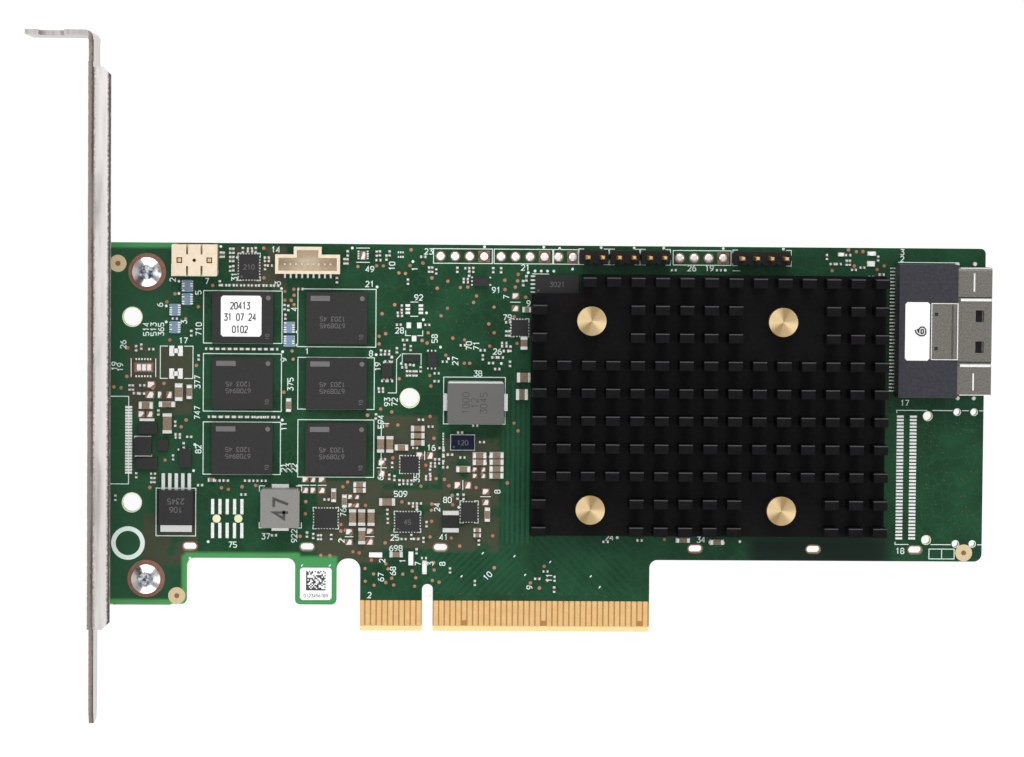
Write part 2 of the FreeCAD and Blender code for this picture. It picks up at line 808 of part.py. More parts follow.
def build_bracket():
    """The steel bracket: one sheet with a top tab, stiffening flange, tongue and two ears."""
    body = new_body("bracket")
    face = bracket_front
    middle = bracket_back + d.bracket_wide / 2
    over = Size(1.0)
    half_tongue = d.tongue_wide / 2

    side = new_sketch(body, "bracket_side", "XY_Plane", bracket_back, x=bracket_out,
                      y=bracket_top)
    folded_profile(side, d.tab_reach, d.bracket_tall, -1)
    pad(body, side, d.bracket_wide)

    tongue = new_sketch(body, "tongue_sides", "YZ_Plane", bracket_out - over)
    tip = half_tongue - d.tongue_taper
    under = bracket_foot - over
    for sign in (1, -1):
        outer = middle + (d.bracket_wide / 2 + over) * sign
        side_line = middle + half_tongue * sign
        draw_outline(tongue, [(d.flange_low, outer), (d.flange_low, side_line),
                              (bracket_foot + d.tongue_taper_long, side_line),
                              (bracket_foot, middle + tip * sign), (under, middle + tip * sign),
                              (under, outer)])
    pocket(body, tongue, d.sheet_thick * 3, forward=True)

    notches = new_sketch(body, "neck_notches", "YZ_Plane", bracket_out - over)
    draw_box(notches, neck_low, face - d.neck_notch, neck_high, face + over)
    draw_box(notches, neck_low, bracket_back - over, neck_high, bracket_back + d.neck_notch)
    pocket(body, notches, d.sheet_thick * 3, forward=True)

    slot = new_sketch(body, "tab_screw_slot", "XZ_Plane", bracket_top + over,
                      x=bracket_out - d.tab_slot_x)
    draw_box(slot, -d.tab_slot_wide / 2, face - d.tab_slot_deep, d.tab_slot_wide / 2,
             face + d.tab_slot_wide / 2, d.tab_slot_wide * NEARLY_ROUND)
    pocket(body, slot, d.sheet_thick * 4, forward=True)

    flange = new_sketch(body, "flange_section", "XZ_Plane", d.flange_low, x=bracket_out, y=face)
    folded_profile(flange, d.flange_reach, d.bracket_wide / 2, 1)
    pad(body, flange, flange_high - d.flange_low, backward=True)

    trim = new_sketch(body, "flange_corners", "XY_Plane", face + over)
    edge = bracket_out + d.flange_reach
    r = d.flange_corner
    draw_outline(trim, [(edge - r, flange_high), (edge, flange_high - r),
                        (edge + over, flange_high - r), (edge + over, flange_high + over),
                        (edge - r, flange_high + over)])
    draw_outline(trim, [(edge - r, d.flange_low), (edge, d.flange_low + r),
                        (edge + over, d.flange_low + r), (edge + over, d.flange_low - over),
                        (edge - r, d.flange_low - over)])
    pocket(body, trim, d.sheet_thick + over * 1.5)
    return body


def build_ears(body):
    """The two ears that carry the board, folded from the bracket's solder-side edge."""
    under_board = board_back - d.sheet_thick
    over = Size(1.0)
    for name, y in (("low", d.screw_low_y), ("high", d.screw_low_y + d.screw_pitch)):
        cut = new_sketch(body, f"ear_{name}_relief", "YZ_Plane", bracket_out - over)
        half = d.ear_wide / 2 + d.ear_relief
        draw_box(cut, y - half, bracket_back - over, y + half,
                 board_back + d.bend_in + d.ear_relief / 2)
        pocket(body, cut, d.sheet_thick * 3, forward=True)

        ear = new_sketch(body, f"ear_{name}_section", "XZ_Plane", y, x=bracket_out,
                         y=under_board)
        thick, inside = d.sheet_thick, d.bend_in
        rise = thick * 2 + inside * 2 + d.ear_relief
        draw_outline(ear, [(0.0, rise), (0.0, 0.0, inside + thick), (d.ear_reach, 0.0),
                           (d.ear_reach, thick), (thick, thick, inside), (thick, rise)])
        pad(body, ear, d.ear_wide, both_ways=True)

    holes = new_sketch(body, "ear_screw_holes", "XY_Plane")
    draw_circle(holes, screw_x, d.screw_low_y, d.screw_shank)
    draw_circle(holes, screw_x, d.screw_low_y + d.screw_pitch, d.screw_shank)
    pocket(body, holes, d.board_thick + d.sheet_thick * 2)


def build_screws():
    """The two pan-head screws with cross recesses that hold the board to the ears."""
    body = new_body("bracket_screws")
    section = new_sketch(body, "screw_section", "XZ_Plane", d.screw_low_y, x=screw_x)
    head, shank = d.screw_head / 2, d.screw_shank / 2
    draw_outline(section, [(0.0, -d.screw_long), (shank, -d.screw_long), (shank, 0.0), (head, 0.0),
                           (head, d.screw_head_tall - d.screw_crown_tall),
                           (head - d.screw_crown_wide, d.screw_head_tall),
                           (0.0, d.screw_head_tall)])
    turned = revolve(body, section)
    recess = new_sketch(body, "screw_recess", "XY_Plane", d.screw_head_tall, x=screw_x,
                        y=d.screw_low_y)
    arm, half = d.recess_long / 2, d.recess_wide / 2
    draw_outline(recess, [(half, arm), (half, half), (arm, half), (arm, -half), (half, -half),
                          (half, -arm), (-half, -arm), (-half, -half), (-arm, -half),
                          (-arm, half), (-half, half), (-half, arm)])
    cut = pocket(body, recess, d.recess_deep)
    row = repeat(body, turned, recess, "V_Axis", d.screw_pitch, Size(2))
    row.Originals = [turned, cut]
    body.Tip = row


bracket = build_bracket()
build_ears(bracket)
build_screws()


# ---------------------------------------------------------------------------------------------
# Controller, heat sink and push pins
# ---------------------------------------------------------------------------------------------

def build_controller():
    """The controller package, its metal lid and the pad that meets the heat sink."""
    x, y = controller_x, controller_y
    substrate = new_block("Box_substrate", x, y, 0.0, d.substrate_side, d.substrate_side,
                          d.substrate_tall)
    keep(substrate, "controller_substrate")
    lid = new_block("Box_lid", x, y, lid_bottom, d.lid_side, d.lid_side, d.lid_tall)
    keep(lid, "controller_lid")
    gap_pad = new_block("Box_gap_pad", x, y, pad_bottom, d.gap_pad_side, d.gap_pad_side,
                        d.gap_pad_tall)
    keep(gap_pad, "thermal_pad")


def build_heat_sink():
    """The pin-fin heat sink: a block cut by channels one way and cross-cut the other way."""
    body = new_body("heat_sink")
    right, high = sink_right, sink_high
    over = Size(1.0)
    pin_tall = d.sink_pin_tall + over
    gap_x = d.sink_pitch_x - d.sink_pin_x
    gap_y = d.sink_pitch_y - d.sink_pin_y
    first_x = d.sink_left + d.sink_margin_x + d.sink_pin_x
    first_y = d.sink_low + d.sink_margin_y + d.sink_pin_y
    columns = how_many(sink_right - first_x, d.sink_pitch_x)
    rows = how_many(sink_high - first_y, d.sink_pitch_y)
    last_x = first_x + d.sink_pitch_x * (columns - 1)
    last_y = first_y + d.sink_pitch_y * (rows - 1)

    block = new_sketch(body, "sink_block", "XY_Plane", sink_bottom)
    draw_box(block, d.sink_left, d.sink_low, right, high)
    pad(body, block, d.sink_base_tall + d.sink_pin_tall)

    holes = new_sketch(body, "sink_pin_holes", "XY_Plane", sink_bottom)
    for x, y in push_places:
        draw_eight_sides(holes, x, y, push_hole)
    pocket(body, holes, d.sink_base_tall + pin_tall, forward=True)

    notch = new_sketch(body, "sink_corner_notch", "XY_Plane", sink_bottom)
    draw_box(notch, d.sink_left - over, high - d.sink_notch_y, d.sink_left + d.sink_notch_x,
             high + over)
    pocket(body, notch, d.sink_base_tall + pin_tall, forward=True)

    clear = new_sketch(body, "sink_clearings", "XY_Plane", sink_top)
    clear_x, clear_y = d.sink_pitch_x * 3, d.sink_pitch_y * 2
    for x, y in push_places:
        corner_x, corner_y = first_x + gap_x / 2, first_y + gap_y / 2
        left = corner_x + d.sink_pitch_x * ((x - clear_x / 2 - corner_x) / d.sink_pitch_x).nearest()
        low = corner_y + d.sink_pitch_y * ((y - clear_y / 2 - corner_y) / d.sink_pitch_y).nearest()
        draw_box(clear, left, low, left + clear_x, low + clear_y)
    pocket(body, clear, pin_tall, forward=True)

    sides = new_sketch(body, "sink_rim_sides", "XY_Plane", sink_top)
    draw_box(sides, d.sink_left - over, d.sink_low - over, first_x - d.sink_pin_x, high + over)
    draw_box(sides, last_x, d.sink_low - over, right + over, high + over)
    pocket(body, sides, pin_tall, forward=True)
    ends = new_sketch(body, "sink_rim_ends", "XY_Plane", sink_top)
    draw_box(ends, d.sink_left - over, d.sink_low - over, right + over, first_y - d.sink_pin_y)
    draw_box(ends, d.sink_left - over, last_y, right + over, high + over)
    pocket(body, ends, pin_tall, forward=True)

    channel = new_sketch(body, "sink_channel", "XY_Plane", sink_top, x=first_x, y=d.sink_low)
    draw_box(channel, 0.0, -over, gap_x, sink_wide + over)
    cut = pocket(body, channel, pin_tall, forward=True)
    repeat(body, cut, channel, "H_Axis", d.sink_pitch_x, columns - 1)

    cross = new_sketch(body, "sink_cross_cut", "XY_Plane", sink_top, x=d.sink_left, y=first_y)
    draw_box(cross, -over, 0.0, sink_long + over, gap_y)
    cross_cut = pocket(body, cross, pin_tall, forward=True)
    repeat(body, cross_cut, cross, "V_Axis", d.sink_pitch_y, rows - 1)


def build_push_pins():
    """The four push pins: a round head, a shank and a barb that holds under the board."""
    single = doc.addObject("PartDesign::Body", "Body_push_pin")
    barb = new_sketch(single, "push_barb", "XZ_Plane")
    tip = board_back - d.push_tail
    draw_outline(barb, [(0.0, tip), (d.push_tip / 2, tip), (d.push_barb / 2, board_back),
                        (0.0, board_back)])
    revolve(single, barb)
    shank = new_sketch(single, "push_shank", "XY_Plane", board_back)
    draw_eight_sides(shank, 0.0, 0.0, d.push_shank)
    pad(single, shank, push_head_low - board_back)
    head = new_sketch(single, "push_head", "XY_Plane", push_head_low)
    draw_circle(head, 0.0, 0.0, d.push_head)
    pad(single, head, d.push_head_tall)
    copies = []
    for number, (x, y) in enumerate(push_places, start=1):
        copies.append(linked(single, f"push_pin_copy_{number}", x, y))
    new_group("push_pins", copies)


def coil_solid(mean_radius, wire_radius, rise, turns, steps=10, corners=4):
    """Returns a coil of wire as a closed solid of flat facets, rising from z = 0."""
    rings = []
    total = int(round(turns * steps))
    for step in range(total + 1):
        angle = 2 * math.pi * step / steps
        level = rise * step / total
        ring = []
        for corner in range(corners):
            turn = 2 * math.pi * corner / corners
            radius = mean_radius + wire_radius * math.cos(turn)
            ring.append(FreeCAD.Vector(radius * math.cos(angle), radius * math.sin(angle),
                                       level + wire_radius * math.sin(turn)))
        rings.append(ring)
    faces = [Part.Face(Part.makePolygon(rings[0] + rings[0][:1])),
             Part.Face(Part.makePolygon(rings[-1] + rings[-1][:1]))]
    for step in range(total):
        for corner in range(corners):
            following = (corner + 1) % corners
            a, b = rings[step][corner], rings[step][following]
            c, e = rings[step + 1][following], rings[step + 1][corner]
            faces.append(Part.Face(Part.makePolygon([a, b, c, a])))
            faces.append(Part.Face(Part.makePolygon([a, c, e, a])))
    solid = Part.Solid(Part.Shell(faces))
    if solid.Volume < 0:
        solid.reverse()
    return solid


def build_springs():
    """The four coil springs between the push-pin heads and the heat sink's base."""
    bottom = sink_top + d.spring_wire / 2
    rise = d.push_travel - d.spring_wire
    coil = doc.addObject("Part::Feature", "spring_coil")
    coil.Shape = coil_solid(d.spring_mean.value / 2, d.spring_wire.value / 2, rise.value,
                            d.spring_turns.value)
    copies = []
    for number, (x, y) in enumerate(push_places, start=1):
        copies.append(linked(coil, f"spring_copy_{number}", x, y, bottom))
    new_group("push_pin_springs", copies)


build_controller()
build_heat_sink()
build_push_pins()
build_springs()


# ---------------------------------------------------------------------------------------------
# Memory chips and labels
# ---------------------------------------------------------------------------------------------

MEMORY_ROWS = 3


def build_memory():
    """Six memory packages in two columns."""
    number = 0
    for row in range(MEMORY_ROWS):
        for x in (d.memory_left_x, d.memory_left_x + d.memory_pitch_x):
            number += 1
            chip = new_block(f"Box_memory_{number}", x, d.memory_top_y - d.memory_pitch_y * row,
                             0.0, d.memory_long, d.memory_wide, d.memory_tall)
            keep(chip, f"memory_chip_{number}")


def build_label(label, x, y, bottom):
    """A paper label with cut corners."""
    body = new_body(label)
    sketch = new_sketch(body, label + "_outline", "XY_Plane", bottom, x=x, y=y)
    draw_cut_corners(sketch, 0.0, 0.0, d.get(label + "_long"), d.get(label + "_wide"),
                     d.label_corner)
    pad(body, sketch, d.label_thick)


build_memory()
build_label("memory_label", d.memory_left_x - d.memory_label_shift,
            d.memory_top_y + d.memory_label_shift, d.memory_tall)
build_label("serial_label", (label_tab_left + label_tab_right) / 2,
            d.tab_low + d.serial_label_rise + d.serial_label_wide / 2, 0.0)
build_label("connector_label", cable_left + d.connector_label_inset + d.connector_label_long / 2,
            cable_middle, d.cable_tall)


# ---------------------------------------------------------------------------------------------
# Cable connector on the far end
# ---------------------------------------------------------------------------------------------

plate_left = cable_left + d.plate_from_left
plate_low = cable_middle - d.plate_wide / 2


def build_cable_housing():
    """The dark moulded housing, with the blade that stands in the shell's mouth."""
    body = new_body("cable_connector_housing")
    over = Size(1.0)
    block = new_sketch(body, "housing_block", "XY_Plane")
    draw_box(block, cable_left, cable_low, cable_right, cable_high)
    pad(body, block, d.cable_tall)
    step = new_sketch(body, "housing_step", "XZ_Plane", cable_high + over, x=cable_left,
                      y=d.cable_tall)
    draw_outline(step, [(-over, -d.cable_step_tall), (0.0, -d.cable_step_tall),
                        (d.cable_step_wide, 0.0), (d.cable_step_wide, over), (-over, over)])
    pocket(body, step, d.cable_long + over * 2)
    seat = new_sketch(body, "plate_seat", "XY_Plane", d.cable_tall - d.plate_tall)
    draw_box(seat, plate_left, plate_low, cable_right + over, plate_low + d.plate_wide)
    pocket(body, seat, d.plate_tall + over, forward=True)
    blade = new_sketch(body, "blade_section", "YZ_Plane", cable_right)
    draw_centred(blade, cable_middle, d.shell_tall / 2, d.cable_long - d.blade_inset * 2,
                 d.blade_tall)
    pad(body, blade, d.blade_deep)


def build_cable_shell():
    """The bright sheet shell round the mouth: a flat tube with grooves and two windows."""
    body = new_body("cable_connector_shell")
    over, top, wall = Size(0.5), d.shell_tall, d.shell_wall
    tube = new_sketch(body, "shell_section", "YZ_Plane", cable_right)
    draw_box(tube, shell_low, 0.0, shell_high, top, d.shell_corner)
    draw_box(tube, shell_low + wall, wall, shell_high - wall, top - wall - d.shell_groove_deep)
    pad(body, tube, d.shell_deep)
    grooves = new_sketch(body, "shell_grooves", "YZ_Plane", cable_right - over)
    wide, slope = d.shell_groove, d.shell_groove_slope
    floor = top - d.shell_groove_deep
    for low in (shell_low + d.shell_leaf, shell_high - d.shell_leaf - wide):
        draw_outline(grooves, [(low, top + over), (low, top), (low + slope, floor),
                               (low + wide - slope, floor), (low + wide, top),
                               (low + wide, top + over)])
    pocket(body, grooves, d.shell_deep + over * 2, forward=True)
    windows = new_sketch(body, "shell_windows", "XY_Plane", top + over,
                         x=cable_right + d.shell_deep - d.window_from_end - d.window_x / 2,
                         y=cable_middle)
    draw_centred(windows, 0.0, d.window_step / 2, d.window_x, d.window_y)
    draw_centred(windows, 0.0, -d.window_step / 2, d.window_x, d.window_y)
    pocket(body, windows, wall + d.shell_groove_deep + over * 2)


def build_latch_plate():
    """The sheet plate let into the housing's top, with two small square holes."""
    body = new_body("cable_connector_plate")
    plate = new_sketch(body, "plate_outline", "XY_Plane", d.cable_tall - d.plate_tall)
    draw_box(plate, plate_left, plate_low, cable_right, plate_low + d.plate_wide)
    pad(body, plate, d.plate_tall)
    holes = new_sketch(body, "plate_holes", "XY_Plane", d.cable_tall)
    for sign in (-1, 1):
        draw_centred(holes, plate_left + d.plate_hole_from_left,
                     cable_middle + d.plate_hole_step / 2 * sign, d.plate_hole, d.plate_hole)
    pocket(body, holes, d.plate_tall)
    ridge = new_sketch(body, "plate_ridge", "XZ_Plane", plate_low,
                       x=cable_right - d.plate_ridge_wide, y=d.cable_tall)
    wide, tall = d.plate_ridge_wide, d.plate_ridge_tall
    draw_outline(ridge, [(0.0, 0.0), (tall, tall), (wide - tall, tall), (wide, 0.0)])
    pad(body, ridge, d.plate_wide, backward=True)


def build_cable_leads():
    """The row of fine leads that stand out of the housing's back edge onto the board."""
    body = new_body("cable_connector_leads")
    lead = new_sketch(body, "cable_lead", "XY_Plane", x=cable_left, y=cable_low + d.lead_margin)
    half = d.lead_wide / 2
    draw_box(lead, -d.lead_reach, -half, 0.0, half)
    first = pad(body, lead, d.lead_thick)
    count = how_many(d.cable_long - d.lead_margin * 1.5, d.lead_pitch)
    repeat(body, first, lead, "V_Axis", d.lead_pitch, count)


build_cable_housing()
build_cable_shell()
build_latch_plate()
build_cable_leads()


# ---------------------------------------------------------------------------------------------
# Headers and small sockets
# ---------------------------------------------------------------------------------------------

def build_header_base(label, x, count):
    """A black pin strip: one chamfered cell for each pin, with a square hole through it."""
    body = new_body(label)
    half_deep, edge = d.header_deep / 2, d.header_edge
    outline = new_sketch(body, label + "_cells", "XY_Plane", x=x, y=header_y)
    front, back = [], []
    for index in range(count):
        left = d.header_pitch * index
        right = left + d.header_pitch
        front.append((left + edge, -half_deep))
        front.append((right - edge, -half_deep))
        front.append((right, -half_deep + edge))
        back.append((left, half_deep - edge))
        back.append((left + edge, half_deep))
        back.append((right - edge, half_deep))
    first = (Size(0), -half_deep + edge)
    last = (d.header_pitch * count, half_deep - edge)
    draw_outline(outline, [first] + front + [last] + back[::-1])
    pad(body, outline, d.header_tall)
    holes = new_sketch(body, label + "_holes", "XY_Plane", x=x, y=header_y)
    for index in range(count):
        draw_centred(holes, d.header_pitch * (index + 0.5), 0.0, d.pin_side, d.pin_side)
    pocket(body, holes, d.header_tall * 2, forward=True)


def build_header_pins():
    """Ten square pins with tapered tips, the same in every header."""
    single = doc.addObject("PartDesign::Body", "Body_header_pin")
    foot = board_back - d.pin_tail
    shaft = new_sketch(single, "pin_shaft", "XY_Plane", foot)
    draw_centred(shaft, 0.0, 0.0, d.pin_side, d.pin_side)
    column = pad(single, shaft, d.pin_top - foot)
    doc.recompute([column])
    top_edges = []
    for number, edge in enumerate(column.Shape.Edges, start=1):
        if edge.BoundBox.ZMin > d.pin_top.value - d.pin_taper.value:
            top_edges.append(f"Edge{number}")
    chamfer = single.newObject("PartDesign::Chamfer", "pin_tip")
    chamfer.Base = (column, top_edges)
    bind(chamfer, "Size", d.pin_taper)
    single.Tip = chamfer
    copies = []
    for label, left in header_places().items():
        for index in range(int(HEADER_WAYS[label])):
            copies.append(linked(single, f"pin_{label}_{index}",
                                 left + d.header_pitch * (index + 0.5), header_y))
    new_group("header_pins", copies)


for header_label, header_left in header_places().items():
    build_header_base(header_label, header_left, int(HEADER_WAYS[header_label]))
build_header_pins()


def build_signal_socket():
    """The pale nine-way socket: an open shroud with a polarising bay at its back."""
    body = new_body("signal_socket_housing")
    x, y = d.signal_x, board_top - d.signal_from_top
    wall = d.signal_wall
    half_long, half_wide = d.signal_long / 2, d.signal_wide / 2
    half_bay = d.signal_bay_long / 2
    outline = new_sketch(body, "signal_outline", "XY_Plane", x=x, y=y)
    draw_outline(outline, [(-half_long, -half_wide), (half_long, -half_wide),
                           (half_long, half_wide), (half_bay, half_wide),
                           (half_bay, half_wide + d.signal_bay_deep),
                           (-half_bay, half_wide + d.signal_bay_deep),
                           (-half_bay, half_wide), (-half_long, half_wide)])
    pad(body, outline, d.signal_tall)
    cavity = new_sketch(body, "signal_cavity", "XY_Plane", d.signal_floor, x=x, y=y)
    bay = half_bay - wall
    back = half_wide + d.signal_bay_deep - wall
    draw_outline(cavity, [(-half_long + wall, -half_wide + wall),
                          (half_long - wall, -half_wide + wall),
                          (half_long - wall, half_wide - wall), (bay, half_wide - wall),
                          (bay, back), (-bay, back), (-bay, half_wide - wall),
                          (-half_long + wall, half_wide - wall)])
    pocket(body, cavity, d.signal_tall, forward=True)

    leads = new_body("signal_socket_leads")
    first = x - d.signal_pitch * (d.signal_ways - 1) / 2
    foot = new_sketch(leads, "signal_foot", "XY_Plane", x=first, y=y)
    side = d.signal_lead / 2
    draw_box(foot, -side, -half_wide - d.signal_reach, side, -half_wide)
    feet = pad(leads, foot, d.signal_lead)
    repeat(leads, feet, foot, "H_Axis", d.signal_pitch, d.signal_ways)
    post = new_sketch(leads, "signal_post", "XY_Plane", d.signal_floor, x=first, y=y)
    draw_box(post, -side, -side, side, side)
    posts = pad(leads, post, d.signal_post)
    repeat(leads, posts, post, "H_Axis", d.signal_pitch, d.signal_ways)


def build_power_socket():
    """The cream two-way socket: a block with four slots, a centre hole and two contacts."""
    body = new_body("power_socket_housing")
    x, y = d.power_x, board_top - d.power_from_top
    block = new_sketch(body, "power_block", "XY_Plane", x=x, y=y)
    draw_centred(block, 0.0, 0.0, d.power_long, d.power_wide)
    pad(body, block, d.power_tall)
    cuts = new_sketch(body, "power_slots", "XY_Plane", d.power_tall, x=x, y=y)
    half_wide, half_slot = d.power_wide / 2, d.power_slot_wide / 2
    well = d.power_pin + d.power_pin_clearance
    for sign in (-1, 1):
        slot_x = d.power_slot_x * sign
        for level in (1, -1):
            inner = (half_wide - d.power_slot_long) * level
            outer = (half_wide + half_slot) * level
            low, high = (inner, outer) if level > 0 else (outer, inner)
            draw_box(cuts, slot_x - half_slot, low, slot_x + half_slot, high)
        draw_centred(cuts, d.power_pin_x * sign, 0.0, well, well)
    draw_circle(cuts, 0.0, 0.0, d.power_hole)
    pocket(body, cuts, d.power_depth)

    pins = []
    for sign in (-1, 1):
        pins.append(new_block(f"Box_power_contact_{1 if sign > 0 else 0}", x + d.power_pin_x * sign,
                              y, d.power_tall - d.power_depth, d.power_pin, d.power_pin,
                              d.power_depth - d.power_pin_sunk))
    new_group("power_socket_contacts", pins)


build_signal_socket()
build_power_socket()


# ---------------------------------------------------------------------------------------------
# Power parts
# ---------------------------------------------------------------------------------------------

def build_inductor(label):
    """A moulded power inductor: a block with chamfered upright corners."""
    body = new_body(label)
    half_x, half_y = d.get(label + "_long") / 2, d.get(label + "_wide") / 2
    cut = d.inductor_corner
    sketch = new_sketch(body, label + "_outline", "XY_Plane", x=d.get(label + "_x"),
                        y=d.get(label + "_y"))
    draw_outline(sketch, [(-half_x + cut, -half_y), (half_x - cut, -half_y),
                          (half_x, -half_y + cut), (half_x, half_y - cut),
                          (half_x - cut, half_y), (-half_x + cut, half_y),
                          (-half_x, half_y - cut), (-half_x, -half_y + cut)])
    pad(body, sketch, d.get(label + "_tall"))


def build_inductor_terminals():
    """The solder terminals that stand out of the two moulded inductors."""
    reach, tall = d.terminal_reach, d.terminal_tall
    blocks = []
    wide = d.inductor_square_wide / 2
    for name, sign in (("high", 1), ("low", -1)):
        blocks.append(new_block("Box_square_terminal_" + name, d.inductor_square_x,
                                d.inductor_square_y + (wide + reach / 2) * sign, 0.0,
                                d.terminal_wide, reach, tall))
    half = d.inductor_oblong_long / 2
    for name, sign in (("right", 1), ("left", -1)):
        blocks.append(new_block("Box_oblong_terminal_" + name,
                                d.inductor_oblong_x + (half + reach / 2) * sign,
                                d.inductor_oblong_y, 0.0, reach, d.terminal_wide, tall))
    new_group("inductor_terminals", blocks)


REGULATOR_LEADS = 5


def build_regulator():
    """The power transistor package: a moulded body on a metal tab, with its leads."""
    body = new_body("regulator_body")
    x, y = d.regulator_x, d.regulator_y
    half = d.regulator_long / 2
    sketch = new_sketch(body, "regulator_side", "XZ_Plane", y - d.regulator_wide / 2, x=x)
    slope, foot = d.regulator_slope, d.regulator_tab_thick
    shoulder = foot + d.regulator_shoulder
    draw_outline(sketch, [(-half, foot), (half, foot), (half, shoulder),
                          (half - slope, d.regulator_tall), (-half + slope, d.regulator_tall),
                          (-half, shoulder)])
    pad(body, sketch, d.regulator_wide, backward=True)

    metal = [new_block("Box_regulator_tab", x, y - d.regulator_tab_reach / 2, 0.0,
                       d.regulator_tab_long, d.regulator_wide + d.regulator_tab_reach, foot)]
    for index in range(REGULATOR_LEADS):
        lead_x = x + d.regulator_lead_pitch * (index - (REGULATOR_LEADS - 1) / 2)
        metal.append(new_block(f"Box_regulator_lead_{index}", lead_x,
                               y + d.regulator_wide / 2 + d.regulator_lead_long / 2, 0.0,
                               d.regulator_lead, d.regulator_lead_long, foot))
    new_group("regulator_metal", metal)


POWER_PARTS = {
    "inductor_oblong": (8.2, 40.5, 9.9, 7.4, 4.0),
    "inductor_square": (-25.95, 21.8, 6.8, 6.8, 4.0),
    "choke": (4.0, 19.5, 2.8, 2.3, 1.6),
    "regulator": (-44.2, 21.7, 6.5, 6.1, 2.3),
}
for power_name, power_numbers in POWER_PARTS.items():
    place(power_name, *power_numbers)

build_inductor("inductor_oblong")
build_inductor("inductor_square")
build_inductor_terminals()
build_regulator()

choke = block_at("choke")
keep(choke, "choke_body")
choke_ends = []
for choke_name, choke_sign in (("high", 1), ("low", -1)):
    choke_y = d.choke_y + (d.choke_wide + d.choke_end) / 2 * choke_sign
    choke_ends.append(new_block("Box_choke_end_" + choke_name, d.choke_x, choke_y, 0.0,
                                d.choke_long, d.choke_end, d.choke_tall))
new_group("choke_ends", choke_ends)


# ---------------------------------------------------------------------------------------------
# Chips, capacitors and other small parts
# ---------------------------------------------------------------------------------------------

LEADLESS_CHIPS = {
    "leadless_chip_1": (-31.65, 63.95, 3.5, 4.4, 0.85),
    "leadless_chip_2": (-17.95, 19.85, 4.1, 3.4, 0.85),
    "leadless_chip_3": (-3.6, 19.3, 4.3, 3.4, 0.85),
    "leadless_chip_4": (-3.3, 29.4, 3.2, 2.9, 0.85),
    "leadless_chip_5": (7.25, 21.1, 2.9, 3.4, 0.85),
    "leadless_chip_6": (15.9, 53.6, 2.9, 2.8, 0.85),
    "clock_module": (6.0, 33.35, 4.1, 2.5, 0.9),
}
CORNER_CHIP = (22.35, 61.3, 7.6, 3.2, 1.2)
SMALL_PACKAGES = {
    "gate_1": (-7.35, 45.85, 1.7, 2.6, 1.0),
    "gate_2": (0.5, 47.9, 1.5, 2.6, 1.0),
    "gate_3": (-3.05, 48.2, 2.5, 1.2, 0.9),
    "gate_4": (9.0, 61.65, 2.6, 1.5, 1.0),
    "gate_5": (-46.6, 32.65, 1.9, 1.9, 1.0),
    "gate_6": (-42.65, 30.35, 2.1, 3.2, 0.9),
}
DIODES = {
    "diode_1": (-49.2, 35.55, 3.3, 1.9, 1.1),
    "diode_2": (-50.0, 32.4, 2.9, 3.2, 1.3),
    "diode_3": (-49.35, 29.4, 3.7, 2.0, 1.1),
}
CERAMICS_UPRIGHT = {
    "ceramic_1": (-13.25, 20.1, 1.25, 2.9, 1.25),
    "ceramic_2": (-11.65, 20.1, 1.25, 2.9, 1.25),
    "ceramic_3": (-10.0, 20.1, 1.25, 2.9, 1.25),
    "ceramic_4": (-11.6, 16.85, 1.25, 2.9, 1.25),
    "ceramic_5": (-8.4, 33.0, 1.25, 2.9, 1.1),
    "ceramic_6": (-6.8, 33.0, 1.25, 2.9, 1.1),
    "ceramic_7": (-45.8, 36.45, 1.6, 3.5, 1.1),
    "ceramic_8": (16.65, 50.95, 1.2, 2.3, 1.0),
}
CERAMICS_FLAT = {
    "ceramic_9": (-7.2, 22.85, 2.8, 1.3, 1.1),
    "ceramic_10": (-1.9, 35.8, 2.4, 1.0, 0.9),
    "ceramic_11": (-1.9, 34.55, 2.4, 1.0, 0.9),
    "ceramic_12": (-1.9, 33.3, 2.4, 1.0, 0.9),
    "ceramic_13": (16.35, 41.9, 2.1, 1.9, 1.0),
    "ceramic_14": (16.7, 44.9, 2.5, 1.7, 1.0),
    "ceramic_15": (-5.55, 13.55, 2.35, 0.95, 0.8),
}
RESISTOR_NETWORKS = {
    "network_1": (-42.4, 60.55, 1.7, 2.1, 0.4),
    "network_2": (-42.4, 58.25, 1.7, 2.1, 0.4),
    "network_3": (-44.55, 56.35, 1.7, 2.1, 0.4),
    "network_4": (-44.55, 53.3, 1.7, 2.1, 0.4),
    "network_5": (-24.55, 53.4, 1.7, 2.0, 0.4),
    "network_6": (-24.55, 51.0, 1.7, 2.0, 0.4),
}
FUSES = {
    "fuse_1": (-9.15, 13.45, 2.3, 0.85, 0.5),
    "fuse_2": (-2.95, 12.85, 0.85, 2.4, 0.5),
}


def build_group(label, table):
    """Builds every part of a table as one sub-part of separate solids."""
    members = []
    for name, numbers in table.items():
        place(name, *numbers)
        members.append(block_at(name))
    new_group(label, members)


